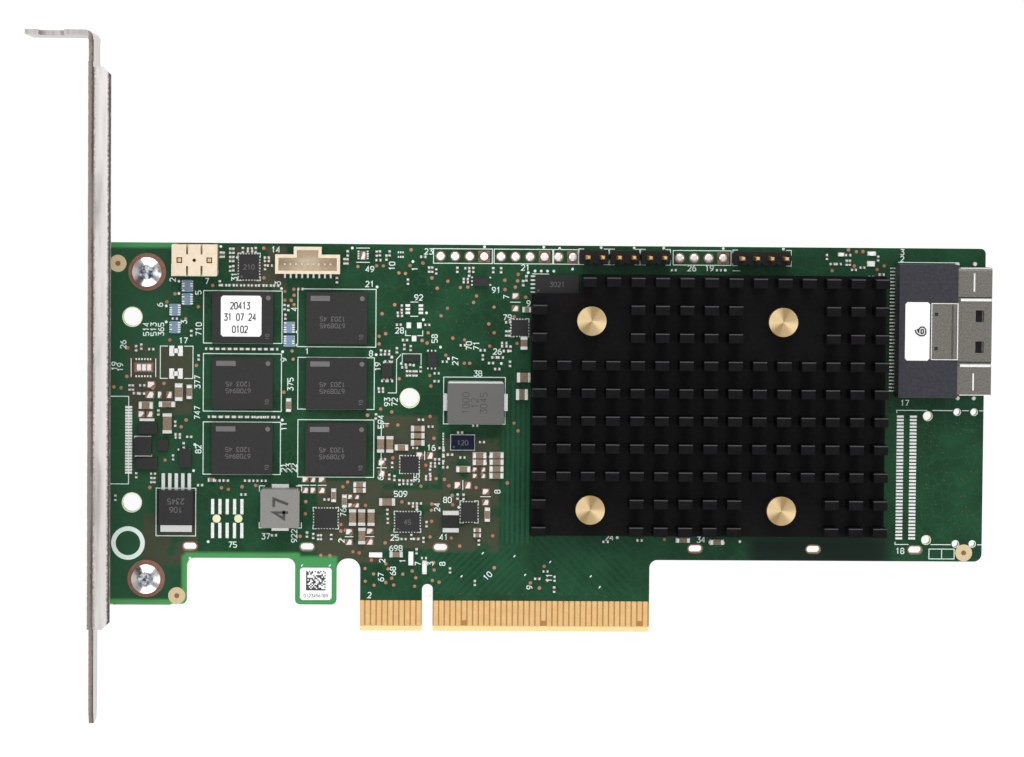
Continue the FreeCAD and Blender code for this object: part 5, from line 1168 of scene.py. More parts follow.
@dataclass
class Silkscreen:
    """White printing: outlines, pin-one dots, plain numbers and a plain ring.

    A cornered box is two corners and the length of its arms. Dashes are a first spot, a step along
    Y and a count.
    """

    outlines: tuple[tuple[Spot, Spot], ...] = (
        ((-39.57, 50.55), (-25.83, 59.75)), ((-39.57, 38.6), (-25.89, 48.7)),
        ((-39.55, 27.5), (-26.0, 36.7)), ((-23.07, 50.02), (-9.37, 60.17)),
        ((-23.0, 39.05), (-9.6, 48.15)), ((-22.95, 27.1), (-9.6, 37.2)),
        ((-47.75, 16.6), (-40.8, 25.0)), ((0.66, 64.85), (10.98, 67.4)),
        ((11.3, 64.85), (21.6, 67.4)), ((21.75, 64.85), (26.1, 67.4)),
        ((2.6, 36.6), (13.45, 44.85)),
        ((42.78, 64.85), (52.98, 67.4)), ((3.9, 32.0), (8.1, 34.7)),
        ((88.65, 13.21), (93.12, 14.96)))
    cornered: tuple[tuple[Spot, Spot, float], ...] = (
        ((-29.65, 18.1), (-22.25, 25.5), 1.0),
        ((5.65, 19.15), (8.85, 23.05), 0.7), ((-5.95, 17.45), (-1.25, 21.15), 0.7),
        ((-5.05, 27.8), (-1.55, 31.0), 0.5), ((-20.2, 17.95), (-15.7, 21.75), 0.6),
        ((-33.6, 61.55), (-29.7, 66.35), 0.7), ((14.3, 52.0), (17.5, 55.2), 0.6),
        ((26.2, 64.8), (31.45, 67.55), 0.9), ((31.6, 64.8), (36.9, 67.55), 0.9),
        ((37.05, 64.8), (42.3, 67.55), 0.9), ((53.3, 64.8), (63.6, 67.55), 0.9))
    lines: tuple[tuple[Spot, ...], ...] = (
        ((-45.8, 49.97), (-47.1, 49.97), (-47.1, 44.3), (-45.8, 44.3)),
        ((-42.9, 49.97), (-41.39, 49.97), (-41.39, 44.3), (-42.9, 44.3)),
        ((-45.2, 64.4), (-45.2, 62.3), (-37.4, 62.3), (-37.4, 67.9)),
        ((-52.2, 44.5), (-52.2, 47.8)),
        ((-47.9, 44.5), (-47.9, 47.8)),
        ((-56.4, 41.1), (-52.6, 41.1), (-52.6, 25.7), (-56.4, 25.7)),
        ((-6.9, 36.6), (-8.3, 36.6), (-8.3, 27.0)),
        ((-7.2, 42.0), (-5.7, 42.0), (-5.7, 47.9), (-4.9, 48.8)),
        ((82.5, 65.6), (93.0, 65.6)), ((82.6, 39.0), (82.6, 39.5), (88.0, 39.5)),
        ((88.9, 39.5), (92.5, 39.5)), ((94.2, 39.5), (95.4, 39.5)), ((97.2, 39.5), (98.0, 39.5)),
        ((85.0, 15.75), (82.6, 15.75), (82.6, 16.2)), ((88.9, 15.75), (92.5, 15.75)),
        ((97.2, 15.75), (98.0, 15.75)), ((90.9, 13.21), (90.9, 14.96)),
        ((18.0, 63.1), (21.0, 63.1)),
        ((-22.9, 25.65), (-20.9, 25.65)), ((-20.75, 25.65), (-19.7, 25.65)),
        ((-19.4, 25.65), (-17.9, 25.65)), ((-14.6, 16.6), (-13.1, 16.6)),
        ((-11.0, 16.65), (-9.4, 16.65)),
        ((-9.05, 28.8), (-7.3, 28.8)), ((-0.65, 30.2), (-0.65, 31.8)), ((6.1, 25.0), (6.1, 26.7)),
        ((9.2, 23.8), (11.05, 23.8)), ((14.2, 58.1), (16.0, 58.1)), ((-12.9, 67.4), (-10.5, 67.4)),
        ((-12.9, 64.9), (-10.5, 64.9)), ((-3.35, 58.0), (-1.95, 58.0)),
        ((-3.35, 55.5), (-1.95, 55.5)),
        ((-3.2, 52.1), (-4.15, 52.1), (-4.15, 53.0)), ((-2.1, 52.1), (-1.15, 52.1), (-1.15, 53.0)),
        ((-4.7, 46.9), (-4.7, 48.9), (-1.4, 48.9), (-1.4, 46.9)),
        ((53.3, 63.9), (54.6, 63.9)))
    dots: tuple[Spot, ...] = (
        (-36.6, 67.5), (-33.7, 65.6), (-25.95, 60.2), (-25.7, 49.1), (-25.7, 37.1), (-13.6, 67.4),
        (-9.2, 60.6), (-9.3, 48.7), (-9.3, 37.5), (-46.1, 57.0), (-46.1, 54.2), (-43.9, 61.35),
        (-43.9, 59.2), (-23.2, 52.6), (-23.2, 50.3), (6.95, 62.7), (-2.95, 65.1), (-0.5, 56.1),
        (-1.05, 54.9), (2.0, 50.1), (3.4, 48.1), (12.7, 47.3), (-2.7, 46.9), (-4.85, 47.2),
        (-6.55, 48.3), (-41.0, 32.7), (-41.2, 28.1), (-38.6, 15.6), (-41.75, 12.65), (-1.95, 21.5),
        (5.4, 21.9), (17.3, 63.3), (25.1, 64.0), (52.0, 64.0), (35.9, 67.8), (41.1, 67.8),
        (30.1, 67.8), (51.6, 67.8), (9.6, 67.8), (20.0, 67.8), (22.8, 67.6), (62.2, 67.8),
        (33.4, 16.7), (55.1, 16.1), (18.5, 63.6), (19.6, 63.6), (20.7, 63.6), (21.8, 63.6))
    dashes: tuple[tuple[float, float, float, int], ...] = ((82.5, 42.4, 2.1, 11),)
    dash_long: float = 0.9
    ring_middle: Spot = (-52.65, 15.29)
    ring_radii: Spot = (2.15, 2.95)
    tick_wide: float = 0.2
    ticks: tuple[Spot, ...] = ((-22.1, 11.5), (-17.2, 11.5), (21.6, 12.3), (28.8, 9.8), (30.4, 7.9),
                               (9.7, 13.8), (15.3, 13.3), (6.0, 9.7), (17.2, 10.0))

    def build(self) -> None:
        """Adds the lines, the ring and the numbers as two pieces."""
        print_lines = Sheet()
        for low, high in self.outlines:
            print_lines.outline(low, high)
        for low, high, arm in self.cornered:
            print_lines.corners(low, high, arm)
        for spots in self.lines:
            print_lines.line(*spots)
        for x, y in self.dots:
            print_lines.dot(x, y)
        for x, y, step, count in self.dashes:
            for index in range(count):
                start = y + step * index
                print_lines.line((x, start), (x, start + self.dash_long))
        for x, y in self.ticks:
            print_lines.line((x - 0.14, y - 0.16), (x + 0.14, y + 0.18), wide=self.tick_wide)
        print_lines.hoop(*self.ring_middle, *self.ring_radii, sides=48)
        add_piece("print_lines", print_lines.mesh("print_lines"), Paint.SILK)
        numbers = Sheet()
        for text, x, y, turn in PRINTED_NUMBERS:
            numbers.digits(text, x, y, turn)
        add_piece("print_numbers", numbers.mesh("print_numbers"), Paint.SILK)


@dataclass
class Plating:
    """Bare laminate, copper and gold round the holes, and the test pads.

    A ring is its inner and outer radius, a target the radius of its dot and of its ground, and a
    fill its radius in the hole and above it. A pad is its middle and its length along X and Y.
    Joints of one size are the X of each, the Y of each, and the size.
    """

    screws: tuple[Spot, ...] = ((-49.45, 62.95), (-49.45, 9.05))
    targets: tuple[Spot, ...] = ((-54.57, 64.40), (-44.07, 6.04), (94.81, 14.30))
    tooling: tuple[Spot, ...] = ((-52.0, 55.05), (-52.0, 22.45), (-3.35, 41.1))
    oblongs: tuple[float, ...] = (-41.8, -21.2, 2.25, 47.2, 68.1, 86.15)
    oblong_y: float = 14.8
    rows: tuple[tuple[float, int], ...] = ((1.9, 4), (12.5, 4), (22.6, 2), (43.95, 4))
    row_y: float = 66.1
    row_step: float = 2.55
    pegs: tuple[Spot, ...] = ((88.1, 38.5), (88.1, 16.55))
    anchors: tuple[Spot, ...] = ((93.3, 39.25), (96.3, 39.25), (93.3, 15.9), (96.3, 15.9))
    posts: tuple[Spot, ...] = ((-37.13, 19.67), (-33.32, 19.7))
    pads: tuple[tuple[float, float, float, float], ...] = (
        (-21.6, 26.7, 1.2, 1.1), (-20.25, 26.7, 1.0, 1.1), (-18.7, 26.7, 1.3, 1.1),
        (-21.6, 24.75, 1.2, 1.1), (-20.25, 24.75, 1.0, 1.1), (-18.7, 24.75, 1.3, 1.1),
        (-13.85, 17.5, 1.3, 1.1), (-13.85, 15.65, 1.3, 1.1), (-10.2, 17.6, 1.3, 1.1),
        (-10.2, 15.7, 1.3, 1.1), (-8.2, 29.7, 1.3, 1.1), (-8.2, 27.8, 1.3, 1.1),
        (-1.6, 31.0, 1.2, 1.3), (0.3, 31.0, 1.2, 1.3),
        (5.15, 25.8, 1.2, 1.3), (7.0, 25.8, 1.2, 1.3),
        (10.15, 24.7, 1.3, 1.1), (10.15, 22.8, 1.3, 1.1), (15.1, 59.2, 1.3, 1.1),
        (15.1, 57.0, 1.3, 1.1), (8.2, 28.6, 0.85, 0.85), (9.7, 28.6, 0.85, 0.85),
        (8.2, 27.45, 0.85, 0.85), (9.7, 27.45, 0.85, 0.85), (-13.7, 23.65, 0.85, 0.85),
        (-12.5, 23.65, 0.85, 0.85), (-13.7, 22.15, 0.85, 0.85), (-12.5, 22.15, 0.85, 0.85),
        (-48.7, 43.2, 1.5, 1.2), (-48.9, 41.4, 1.6, 1.3), (-47.2, 41.4, 0.8, 1.3),
        (-45.5, 41.4, 1.1, 1.3), (-50.4, 38.0, 1.2, 1.2), (-48.9, 38.0, 1.2, 1.2),
        (-50.0, 46.2, 3.35, 1.7), (-11.7, 66.1, 1.0, 1.6))
    unheaped_from: float = 3.0
    joints: tuple[tuple[tuple[float, ...], tuple[float, ...], Spot], ...] = (
        ((-37.83, -36.55, -35.27, -33.98, -32.7), (21.8, 17.6), (0.55, 2.7)),
        ((-45.1, -43.6), (49.15, 45.15), (0.85, 1.8)), ((-44.35,), (49.15, 45.15), (0.9, 0.8)),
        ((-50.1,), (33.95,), (3.0, 0.45)), ((-50.0,), (30.75,), (3.0, 0.45)),
        ((-49.4,), (37.0,), (2.6, 0.45)), ((-3.8, -1.5), (56.1, 56.75, 57.4), (0.8, 0.42)),
        ((-3.6, -1.75), (53.9,), (0.8, 1.0)), ((-2.65,), (51.6,), (0.8, 1.0)),
        ((-50.85, -49.95, -49.05), (46.2,), (0.7, 1.1)))
    screw_ring: Spot = (1.6, 3.3)
    target_ring: Spot = (0.45, 1.5)
    tooling_ring: Spot = (1.61, 1.78)
    oblong_ring: Spot = (0.61, 0.84)
    oblong_reach: float = 0.55
    row_ring: Spot = (0.52, 0.92)
    row_fill: Spot = (0.5, 0.74)
    row_corner: float = 0.88
    anchor_ring: Spot = (0.56, 0.67)
    peg_ring: Spot = (0.76, 0.88)
    post_radius: float = 0.72

    def build(self) -> None:
        """Adds the laminate, copper, gold and solder pieces."""
        bare, copper, rims, solder = (Sheet(thick=layer.value) for layer in (
            Layer.BARE, Layer.COPPER, Layer.COPPER, Layer.SOLDER))
        for x, y in self.screws:
            copper.hoop(x, y, *self.screw_ring, sides=40)
        for x, y in self.targets:
            bare.dot(x, y, self.target_ring[1], 32)
            copper.dot(x, y, self.target_ring[0], 16)
        for x, y in self.tooling:
            rims.hoop(x, y, *self.tooling_ring, sides=32)
        for x in self.oblongs:
            copper.hoop(x, self.oblong_y, *self.oblong_ring, (self.oblong_reach, 0.0))
        self.hole_rows(copper, solder)
        for x, y in self.anchors:
            solder.hoop(x, y, *self.anchor_ring)
        for x, y in self.pegs:
            rims.hoop(x, y, *self.peg_ring)
        for x, y in self.posts:
            rims.dot(x, y, self.post_radius, 24)
        for all_x, all_y, (long, deep) in self.joints:
            for x in all_x:
                for y in all_y:
                    solder.rect(x, y, long, deep)
        for index, (x, y, long, deep) in enumerate(self.pads):
            copper.rect(x, y, long, deep)
            if long < self.unheaped_from:
                self.heap(solder, (x, y), (long, deep), 0.18 if index % 2 else -0.18)
        for name, sheet, finish, slot in (
                ("bare_rings", bare, Paint.BARE, "board_laminate"),
                ("copper_rings", copper, Paint.COPPER, "gold_plating"),
                ("hole_rims", rims, Paint.RIM, "board_laminate"),
                ("solder_fills", solder, Paint.SOLDER, "tin_plating")):
            add_piece(name, sheet.mesh(name), finish)

    def hole_rows(self, copper: Sheet, solder: Sheet) -> None:
        """Rings and fills the rows of holes; a row's last hole has a square land.

        Args:
            copper: Where the rings go.
            solder: Where the fills go.
        """
        inner, outer = self.row_fill
        corner = self.row_corner
        y = self.row_y
        for start, count in self.rows:
            for index in range(count):
                x = start + self.row_step * index
                copper.hoop(x, y, *self.row_ring)
                if index == count - 1:
                    copper.corners((x - corner, y - corner), (x + corner, y + corner), 0.8, 0.26)
                solder.disc((x, y), inner, -0.7, 0.0, 20)
                solder.disc((x, y), outer, 0.0, 0.12, 20, 0.3)

    @staticmethod
    def heap(solder: Sheet, middle: Spot, size: Spot, lean: float) -> None:
        """Adds the solder on one empty pad, thicker to one side.

        Args:
            solder: Where it goes.
            middle: The pad's middle.
            size: The pad's length along X and along Y.
            lean: How far it leans towards +X, against the pad's length.
        """
        x, y = middle
        long, deep = size
        solder.prism([(x - long * 0.42, y - deep * 0.44),
                      (x + long * (0.12 + lean), y - deep * 0.44),
                      (x + long * 0.42, y + deep * 0.1), (x + long * 0.30, y + deep * 0.42),
                      (x - long * (0.2 - lean), y + deep * 0.42)],
                     0.0, Layer.SOLDER.value, 0.08)


def next_draw(state: int) -> int:
    """Returns the number after this one in a plain random sequence."""
    return (state * 1103515245 + 12345) % 2147483648


@dataclass
class Vias:
    """Plated through points under the mask, and the faint small ones of the open fields."""

    radius: float = 0.34
    speck_radius: float = 0.11
    seed: int = 31
    fields: tuple[tuple[Spot, Spot, int], ...] = (
        ((87.0, 17.5), (97.0, 37.5), 80), ((-20.5, 28.0), (-10.0, 28.4), 5),
        ((0.0, 6.2), (37.0, 6.8), 26), ((-8.0, 50.0), (13.0, 62.0), 40))

    def build(self) -> None:
        """Repeats one low disc on every spot, and one speck over the open fields."""
        single = Shape()
        single.disc((0.0, 0.0), self.radius, -0.02, Layer.COPPER.value, 12, 0.03)
        vias = Repeat("vias", single, Paint.VIA, "gold_plating", spread=0.12, seed=11)
        for x, y in VIA_SPOTS:
            vias.at(x, y)
        vias.build()
        speck = Shape()
        speck.disc((0.0, 0.0), self.speck_radius, -0.02, Layer.BARE.value, 6)
        specks = Repeat("via_specks", speck, Paint.SPECK, "gold_plating", spread=0.4, seed=12)
        state = self.seed
        for low, high, count in self.fields:
            for _ in range(count):
                spot = []
                for axis in range(2):
                    state = next_draw(state)
                    spot.append(low[axis] + (high[axis] - low[axis]) * (state >> 8) / 8388608)
                specks.at(*spot)
        specks.build()


@dataclass
class SolderPads:
    """Small tinned pads in rows: empty connector places and the joints round the chips."""

    leadless: tuple[str, ...] = tuple(f"leadless_chip_{index}" for index in range(1, 7))
    pitch: float = 0.5
    outside: float = 0.06
    connector_rows: tuple[Row, ...] = (
        Row((83.25, 16.82), (0.0, 0.5994), 37), Row((85.55, 16.82), (0.0, 0.5994), 37),
        Row((-52.6, 27.69), (0.0, 0.501), 24))
    chip_rows: tuple[Row, ...] = (
        Row((-51.3, 47.65), (0.5, 0.0), 6), Row((-51.3, 44.65), (0.5, 0.0), 6),
        Row((-0.2, 49.45), (0.65, 0.0), 3), Row((-0.2, 46.35), (0.65, 0.0), 3),
        Row((7.45, 61.1), (0.0, 0.65), 3, 90.0), Row((10.65, 61.1), (0.0, 1.3), 2, 90.0),
        Row((2.6, 29.7), (0.0, 0.47), 12), Row((-43.85, 31.8), (1.0, 0.0), 3),
        Row((-43.4, 29.2), (1.1, 0.0), 2), Row((-12.5, 65.6), (0.0, 0.4), 4, 90.0),
        Row((-10.9, 65.6), (0.0, 0.4), 4, 90.0), Row((-5.5, 65.9), (0.4, 0.0), 3),
        Row((-5.5, 66.7), (0.4, 0.0), 3), Row((-7.95, 47.35), (0.65, 0.0), 3),
        Row((-7.95, 44.35), (0.65, 0.0), 3))

    def build(self) -> None:
        """Repeats the long pad and the small pad."""
        long_pad, pad = Shape(), Shape()
        long_pad.block((-0.62, -0.19), (0.62, 0.19), -0.02, 0.04, 0.02)
        pad.block((-0.15, -0.19), (0.15, 0.19), -0.02, 0.08, 0.03)
        longs = Repeat("empty_place_pads", long_pad, Paint.SOLDER, "tin_plating", seed=3)
        for row in self.connector_rows:
            longs.row(row)
        longs.build()
        small = Repeat("joint_pads", pad, Paint.SOLDER, "tin_plating", spread=0.15, seed=5)
        for node in self.leadless:
            self.round_chip(small, node)
        for row in self.chip_rows:
            small.row(row)
        small.build()

    def round_chip(self, pads: Repeat, node: str) -> None:
        """Sets pads along the four sides of a chip.

        Args:
            pads: Where the pads go.
            node: The chip's node.
        """
        low, high = box_mm(node)
        middle = (low + high) / 2
        across = int((high.x - low.x - 0.5) / self.pitch)
        along = int((high.y - low.y - 0.5) / self.pitch)
        left = middle.x - across * self.pitch / 2
        bottom = middle.y - along * self.pitch / 2
        for y in (low.y - self.outside, high.y + self.outside):
            pads.row(Row((left, y), (self.pitch, 0.0), across + 1))
        for x in (low.x - self.outside, high.x + self.outside):
            pads.row(Row((x, bottom), (0.0, self.pitch), along + 1, 90.0))


# ---------------------------------------------------------------------------------------------
# Small parts
# ---------------------------------------------------------------------------------------------

@dataclass
class TinyParts:
    """The smallest two-ended parts, repeated over the board."""

    step: float = 0.37
    tall: float = 0.32
    rows: tuple[Row, ...] = (
        Row((-38.7, 49.55), (1.06, 0.0), 12), Row((-38.2, 37.6), (1.15, 0.0), 11),
        Row((-36.0, 60.7), (1.3, 0.0), 8), Row((-37.0, 26.4), (1.45, 0.0), 2),
        Row((-31.8, 26.4), (1.45, 0.0), 3), Row((-37.6, 63.0), (0.0, 0.0), 1))
    beside_connector: tuple[Spot, ...] = (
        (77.8, 62.95), (70.9, 65.2), (72.0, 65.2), (79.6, 63.4), (76.2, 64.6))

    def build(self) -> None:
        """Repeats the ends and the bodies on the same spots."""
        end, body = Shape(), Shape()
        for side in (-1.0, 1.0):
            x = side * self.step
            end.block((x - 0.15, -0.2), (x + 0.15, 0.2), 0.0, self.tall, 0.03)
            end.block((x - 0.24, -0.26), (x + 0.24, 0.26), -0.01, 0.07, 0.1)
        body.block((-0.24, -0.18), (0.24, 0.18), 0.03, self.tall - 0.02)
        ends = Repeat("tiny_part_ends", end, Paint.PASTE, "tin_plating", spread=0.1, seed=21)
        bodies = Repeat("tiny_part_bodies", body, Paint.PART, "choke_black", spread=0.1, seed=21)
        for parts in (ends, bodies):
            for x, y in FLAT_PARTS:
                parts.at(x, y)
            for x, y in UPRIGHT_PARTS:
                parts.at(x, y, 90.0)
            for row in self.rows:
                parts.row(row)
            for x, y in self.beside_connector:
                parts.at(x, y)
            parts.build()


@dataclass
class EndedParts:
    """Larger two-ended parts beside the modelled ones, each a middle and a length along X and Y."""

    ceramics: tuple[tuple[float, float, float, float], ...] = (
        (-43.85, 41.9, 1.3, 3.0), (-42.0, 41.95, 0.9, 2.4), (-24.6, 39.75, 0.85, 2.3),
        (-16.6, 23.9, 0.8, 2.3), (-14.7, 22.9, 0.8, 2.2), (10.45, 20.65, 0.9, 2.4),
        (-45.9, 39.75, 2.8, 0.9), (-12.05, 25.85, 2.1, 0.85), (-12.05, 24.85, 2.1, 0.85),
        (9.0, 31.1, 2.3, 1.0), (9.0, 29.9, 2.3, 1.0), (12.0, 31.15, 2.4, 1.0),
        (12.0, 29.95, 2.4, 1.0), (12.0, 28.75, 2.4, 1.0), (12.0, 27.55, 2.4, 1.0),
        (6.15, 28.65, 2.4, 1.0), (-4.75, 32.4, 2.3, 1.0), (17.1, 56.8, 1.4, 0.9),
        (8.7, 17.9, 1.2, 0.65), (8.7, 17.0, 1.2, 0.65), (45.0, 16.3, 2.4, 0.8),
        (51.0, 16.0, 2.4, 0.9), (-49.6, 39.55, 2.4, 1.2), (-38.1, 26.5, 1.1, 0.6))
    lamps: tuple[tuple[float, float, float, float], ...] = (
        (77.8, 67.1, 1.4, 0.7), (77.7, 65.3, 1.3, 0.9), (72.4, 66.9, 1.0, 0.6),
        (-0.55, 11.25, 0.75, 2.3))
    networks: tuple[Spot, ...] = ((-42.4, 60.55), (-42.4, 58.25), (-44.55, 56.35), (-44.55, 53.3),
                                  (-24.55, 53.4), (-24.55, 51.0))
    tall: float = 0.8
    lamp_tall: float = 0.45

    def build(self) -> None:
        """Adds bodies and ends of the ceramics, the lamps and the networks' joints."""
        bodies, ends, lamps = Shape(), Shape(), Shape()
        for x, y, long, deep in self.ceramics:
            self.ended(bodies, ends, (x, y), (long, deep), self.tall)
        for x, y, long, deep in self.lamps:
            self.ended(lamps, ends, (x, y), (long, deep), self.lamp_tall)
        add_piece("ceramic_bodies", bodies.mesh("ceramic_bodies"), Paint.CERAMIC)
        add_piece("ceramic_ends", ends.mesh("ceramic_ends"), Paint.PASTE)
        add_piece("lamps", lamps.mesh("lamps"), Paint.LAMP)
        joint = Shape()
        joint.block((-0.27, -0.13), (0.27, 0.13), -0.02, 0.43, 0.03)
        joints = Repeat("network_joints", joint, Paint.PASTE, "tin_plating", spread=0.1, seed=9)
        for x, y in self.networks:
            for side in (-0.74, 0.74):
                joints.row(Row((x + side, y - 0.8), (0.0, 0.4), 5))
        joints.build()

    @staticmethod
    def ended(bodies: Shape, ends: Shape, middle: Spot, size: Spot, tall: float) -> None:
        """Adds one part's body and its two ends.

        Args:
            bodies: Where the body goes.
            ends: Where the ends go.
            middle: The part's middle.
            size: Its length along X and along Y; the longer one has the ends.
            tall: Its height.
        """
        half_x, half_y = size[0] / 2, size[1] / 2
        cap = 0.22 * max(size)
        for side in (-1.0, 1.0):
            if half_x > half_y:
                low, high = sorted((side * half_x, side * (half_x - cap)))
                box = ((middle[0] + low, middle[1] - half_y),
                       (middle[0] + high, middle[1] + half_y))
                foot = side * (half_x + 0.08)
                pad = ((middle[0] + min(foot, 0.0), middle[1] - half_y - 0.06),
                       (middle[0] + max(foot, 0.0), middle[1] + half_y + 0.06))
            else:
                low, high = sorted((side * half_y, side * (half_y - cap)))
                box = ((middle[0] - half_x, middle[1] + low),
                       (middle[0] + half_x, middle[1] + high))
                foot = side * (half_y + 0.08)
                pad = ((middle[0] - half_x - 0.06, middle[1] + min(foot, 0.0)),
                       (middle[0] + half_x + 0.06, middle[1] + max(foot, 0.0)))
            ends.block(*box, 0.0, tall, 0.05)
            ends.block(*pad, -0.02, 0.08, 0.05)
        slim_x = half_x - (cap * 0.9 if half_x > half_y else 0.03)
        slim_y = half_y - (cap * 0.9 if half_y >= half_x else 0.03)
        bodies.block((middle[0] - slim_x, middle[1] - slim_y),
                     (middle[0] + slim_x, middle[1] + slim_y), 0.09, tall - 0.03)


@dataclass
class ChipMarks:
    """Faint generic marks on the chips and the wound parts."""

    chips: tuple[str, ...] = tuple(f"memory_chip_{index}" for index in range(1, 7))
    lift: float = 0.012

    def build(self) -> None:
        """Adds the marks as two pieces."""
        faint, dark = Sheet(thick=self.lift), Sheet(thick=self.lift)
        for index, node in enumerate(self.chips):
            low, high = box_mm(node)
            faint.level = high.z
            if index:
                faint.rect(low.x + 2.45, high.y - 1.1, 3.4, 0.9)
                faint.digits("1203 45", low.x + 4.6, high.y - 4.7, 180.0, 0.75, 0.1)
                faint.digits("6708945", low.x + 4.6, high.y - 5.9, 180.0, 0.75, 0.1)
            faint.dot(high.x - 0.85, high.y - 1.1, 0.42, 16)
            faint.digits("10", high.x - 1.0, low.y + 1.2, 90.0, 0.6, 0.09)
        low, high = box_mm("regulator_body")
        faint.level = high.z
        faint.digits("2345", (low.x + high.x) / 2, high.y - 1.9, 180.0, 0.9, 0.12)
        faint.digits("106", (low.x + high.x) / 2, high.y - 3.4, 180.0, 0.9, 0.12)
        for node, text in (("leadless_chip_1", "210"), ("leadless_chip_3", "45"),
                           ("clock_module", "120"), ("corner_chip_body", "3021")):
            low, high = box_mm(node)
            faint.level = high.z
            faint.digits(text, (low.x + high.x) / 2, (low.y + high.y) / 2, 0.0, 0.8, 0.1)
            faint.dot(low.x + 0.5, low.y + 0.5, 0.16)
        low, high = box_mm("inductor_square")
        dark.level = high.z
        dark.digits("47", (low.x + high.x) / 2 + 0.2, (low.y + high.y) / 2, 90.0, 2.5, 0.5, 0.95)
        low, high = box_mm("inductor_oblong")
        dark.level = high.z
        for index, text in enumerate(("1000", "12", "3045")):
            dark.digits(text, low.x + 3.2 + 1.55 * index, (low.y + high.y) / 2, 90.0, 1.15, 0.13)
        add_piece("chip_marks", faint.mesh("chip_marks"), Paint.MARK)
        add_piece("inductor_marks", dark.mesh("inductor_marks"), Paint.STAMP)


@dataclass
class LabelPrints:
    """Generic dark printing on the three white labels."""

    cells: int = 14
    pattern_side: float = 3.45
    seed: int = 4

    def build(self) -> None:
        """Adds the rows of digits and the square pattern."""
        ink = Sheet(thick=0.012)
        low, high = box_mm("memory_label")
        ink.level = high.z
        middle = (low.x + high.x) / 2
        for text, y in (("20413", 1.75), ("31 07 24", 3.75), ("0102", 5.9)):
            ink.digits(text, middle - 0.2, high.y - y, 0.0, 1.15, 0.2, 0.72)
        low, high = box_mm("serial_label")
        ink.level = high.z
        ink.digits("0123456789", (low.x + high.x) / 2, low.y + 0.75, 0.0, 0.5, 0.08)
        self.pattern(low, high)
        low, high = box_mm("connector_label")
        ink.level = high.z
        ink.digits("6", (low.x + high.x) / 2 + 0.5, (low.y + high.y) / 2, 90.0, 1.5, 0.68, 1.2)
        add_piece("label_digits", ink.mesh("label_digits"), Paint.INK)
        clear = Sheet(thick=0.02)
        clear.level = high.z
        clear.digits("6", (low.x + high.x) / 2 + 0.5, (low.y + high.y) / 2, 90.0, 1.5, 0.12, 1.2)
        add_piece("label_digit_cores", clear.mesh("label_digit_cores"), Paint.LABEL)

    def pattern(self, low: Vector, high: Vector) -> None:
        """Adds a generic square pattern with a solid left column and bottom row.

        Args:
            low: The label's low corner.
            high: Its high corner.
        """
        side = self.pattern_side / self.cells
        cell = Shape()
        cell.block((-side * 0.51, -side * 0.51), (side * 0.51, side * 0.51), -0.01, 0.012)
        squares = Repeat("label_pattern", cell, Paint.INK, "header_black", level=high.z)
        left, bottom = (low.x + high.x) / 2 - 1.72, low.y + 1.7
        state = self.seed
        for column in range(self.cells):
            for row in range(self.cells):
                state = next_draw(state)
                solid = not column or not row
                last = column == self.cells - 1 or row == self.cells - 1
                clocked = last and (column + row) % 2
                inside = 0 < column < self.cells - 1 and 0 < row < self.cells - 1
                if solid or clocked or (inside and state >> 16 & 1):
                    squares.at(left + side * (column + 0.5), bottom + side * (row + 0.5))
        squares.build()


@dataclass
class PushPinSprings:
    """Wound wire under each brass head."""

    mean: float = 3.5
    wire: float = 0.42
    turns: float = 3.0
    steps: int = 30
    sides: int = 8

    def build(self) -> None:
        """Winds the four springs in the place of the CAD node's."""
        low, high = box_mm("push_pin_springs")
        shape = Shape()
        half = (self.mean + self.wire) / 2
        for x in (low.x + half, high.x - half):
            for y in (low.y + half, high.y - half):
                self.wind(shape, (x, y), low.z, high.z)
        piece = add_piece("wound_springs", shape.mesh("wound_springs"), Paint.SPRING)
        smooth(piece, 60.0)
        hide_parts("push_pin_springs")

    def wind(self, shape: Shape, middle: Spot, low: float, high: float) -> None:
        """Adds one wound wire.

        Args:
            shape: Where it goes.
            middle: The spring's axis.
            low: Its lower end.
            high: Its upper end.
        """
        count, first = int(self.turns * self.steps), len(shape.points)
        radius, thin = self.mean / 2, self.wire / 2
        rise = high - low - self.wire
        for index in range(count + 1):
            along = index / count
            turn = 2 * math.pi * self.turns * along
            eased = min(1.0, max(0.0, (along * self.turns - 0.5) / (self.turns - 1.0)))
            level = low + thin + rise * eased
            for side in range(self.sides):
                tilt = 2 * math.pi * side / self.sides
                reach = radius + thin * math.cos(tilt)
                shape.points.append((middle[0] + reach * math.cos(turn),
                                     middle[1] + reach * math.sin(turn),
                                     level + thin * math.sin(tilt)))
        for index in range(count):
            here, beyond = first + index * self.sides, first + (index + 1) * self.sides
            for side in range(self.sides):
                other = (side + 1) % self.sides
                shape.faces.append((here + side, here + other, beyond + other, beyond + side))
        last = first + count * self.sides
        shape.faces.append(tuple(first + side for side in reversed(range(self.sides))))
        shape.faces.append(tuple(last + side for side in range(self.sides)))


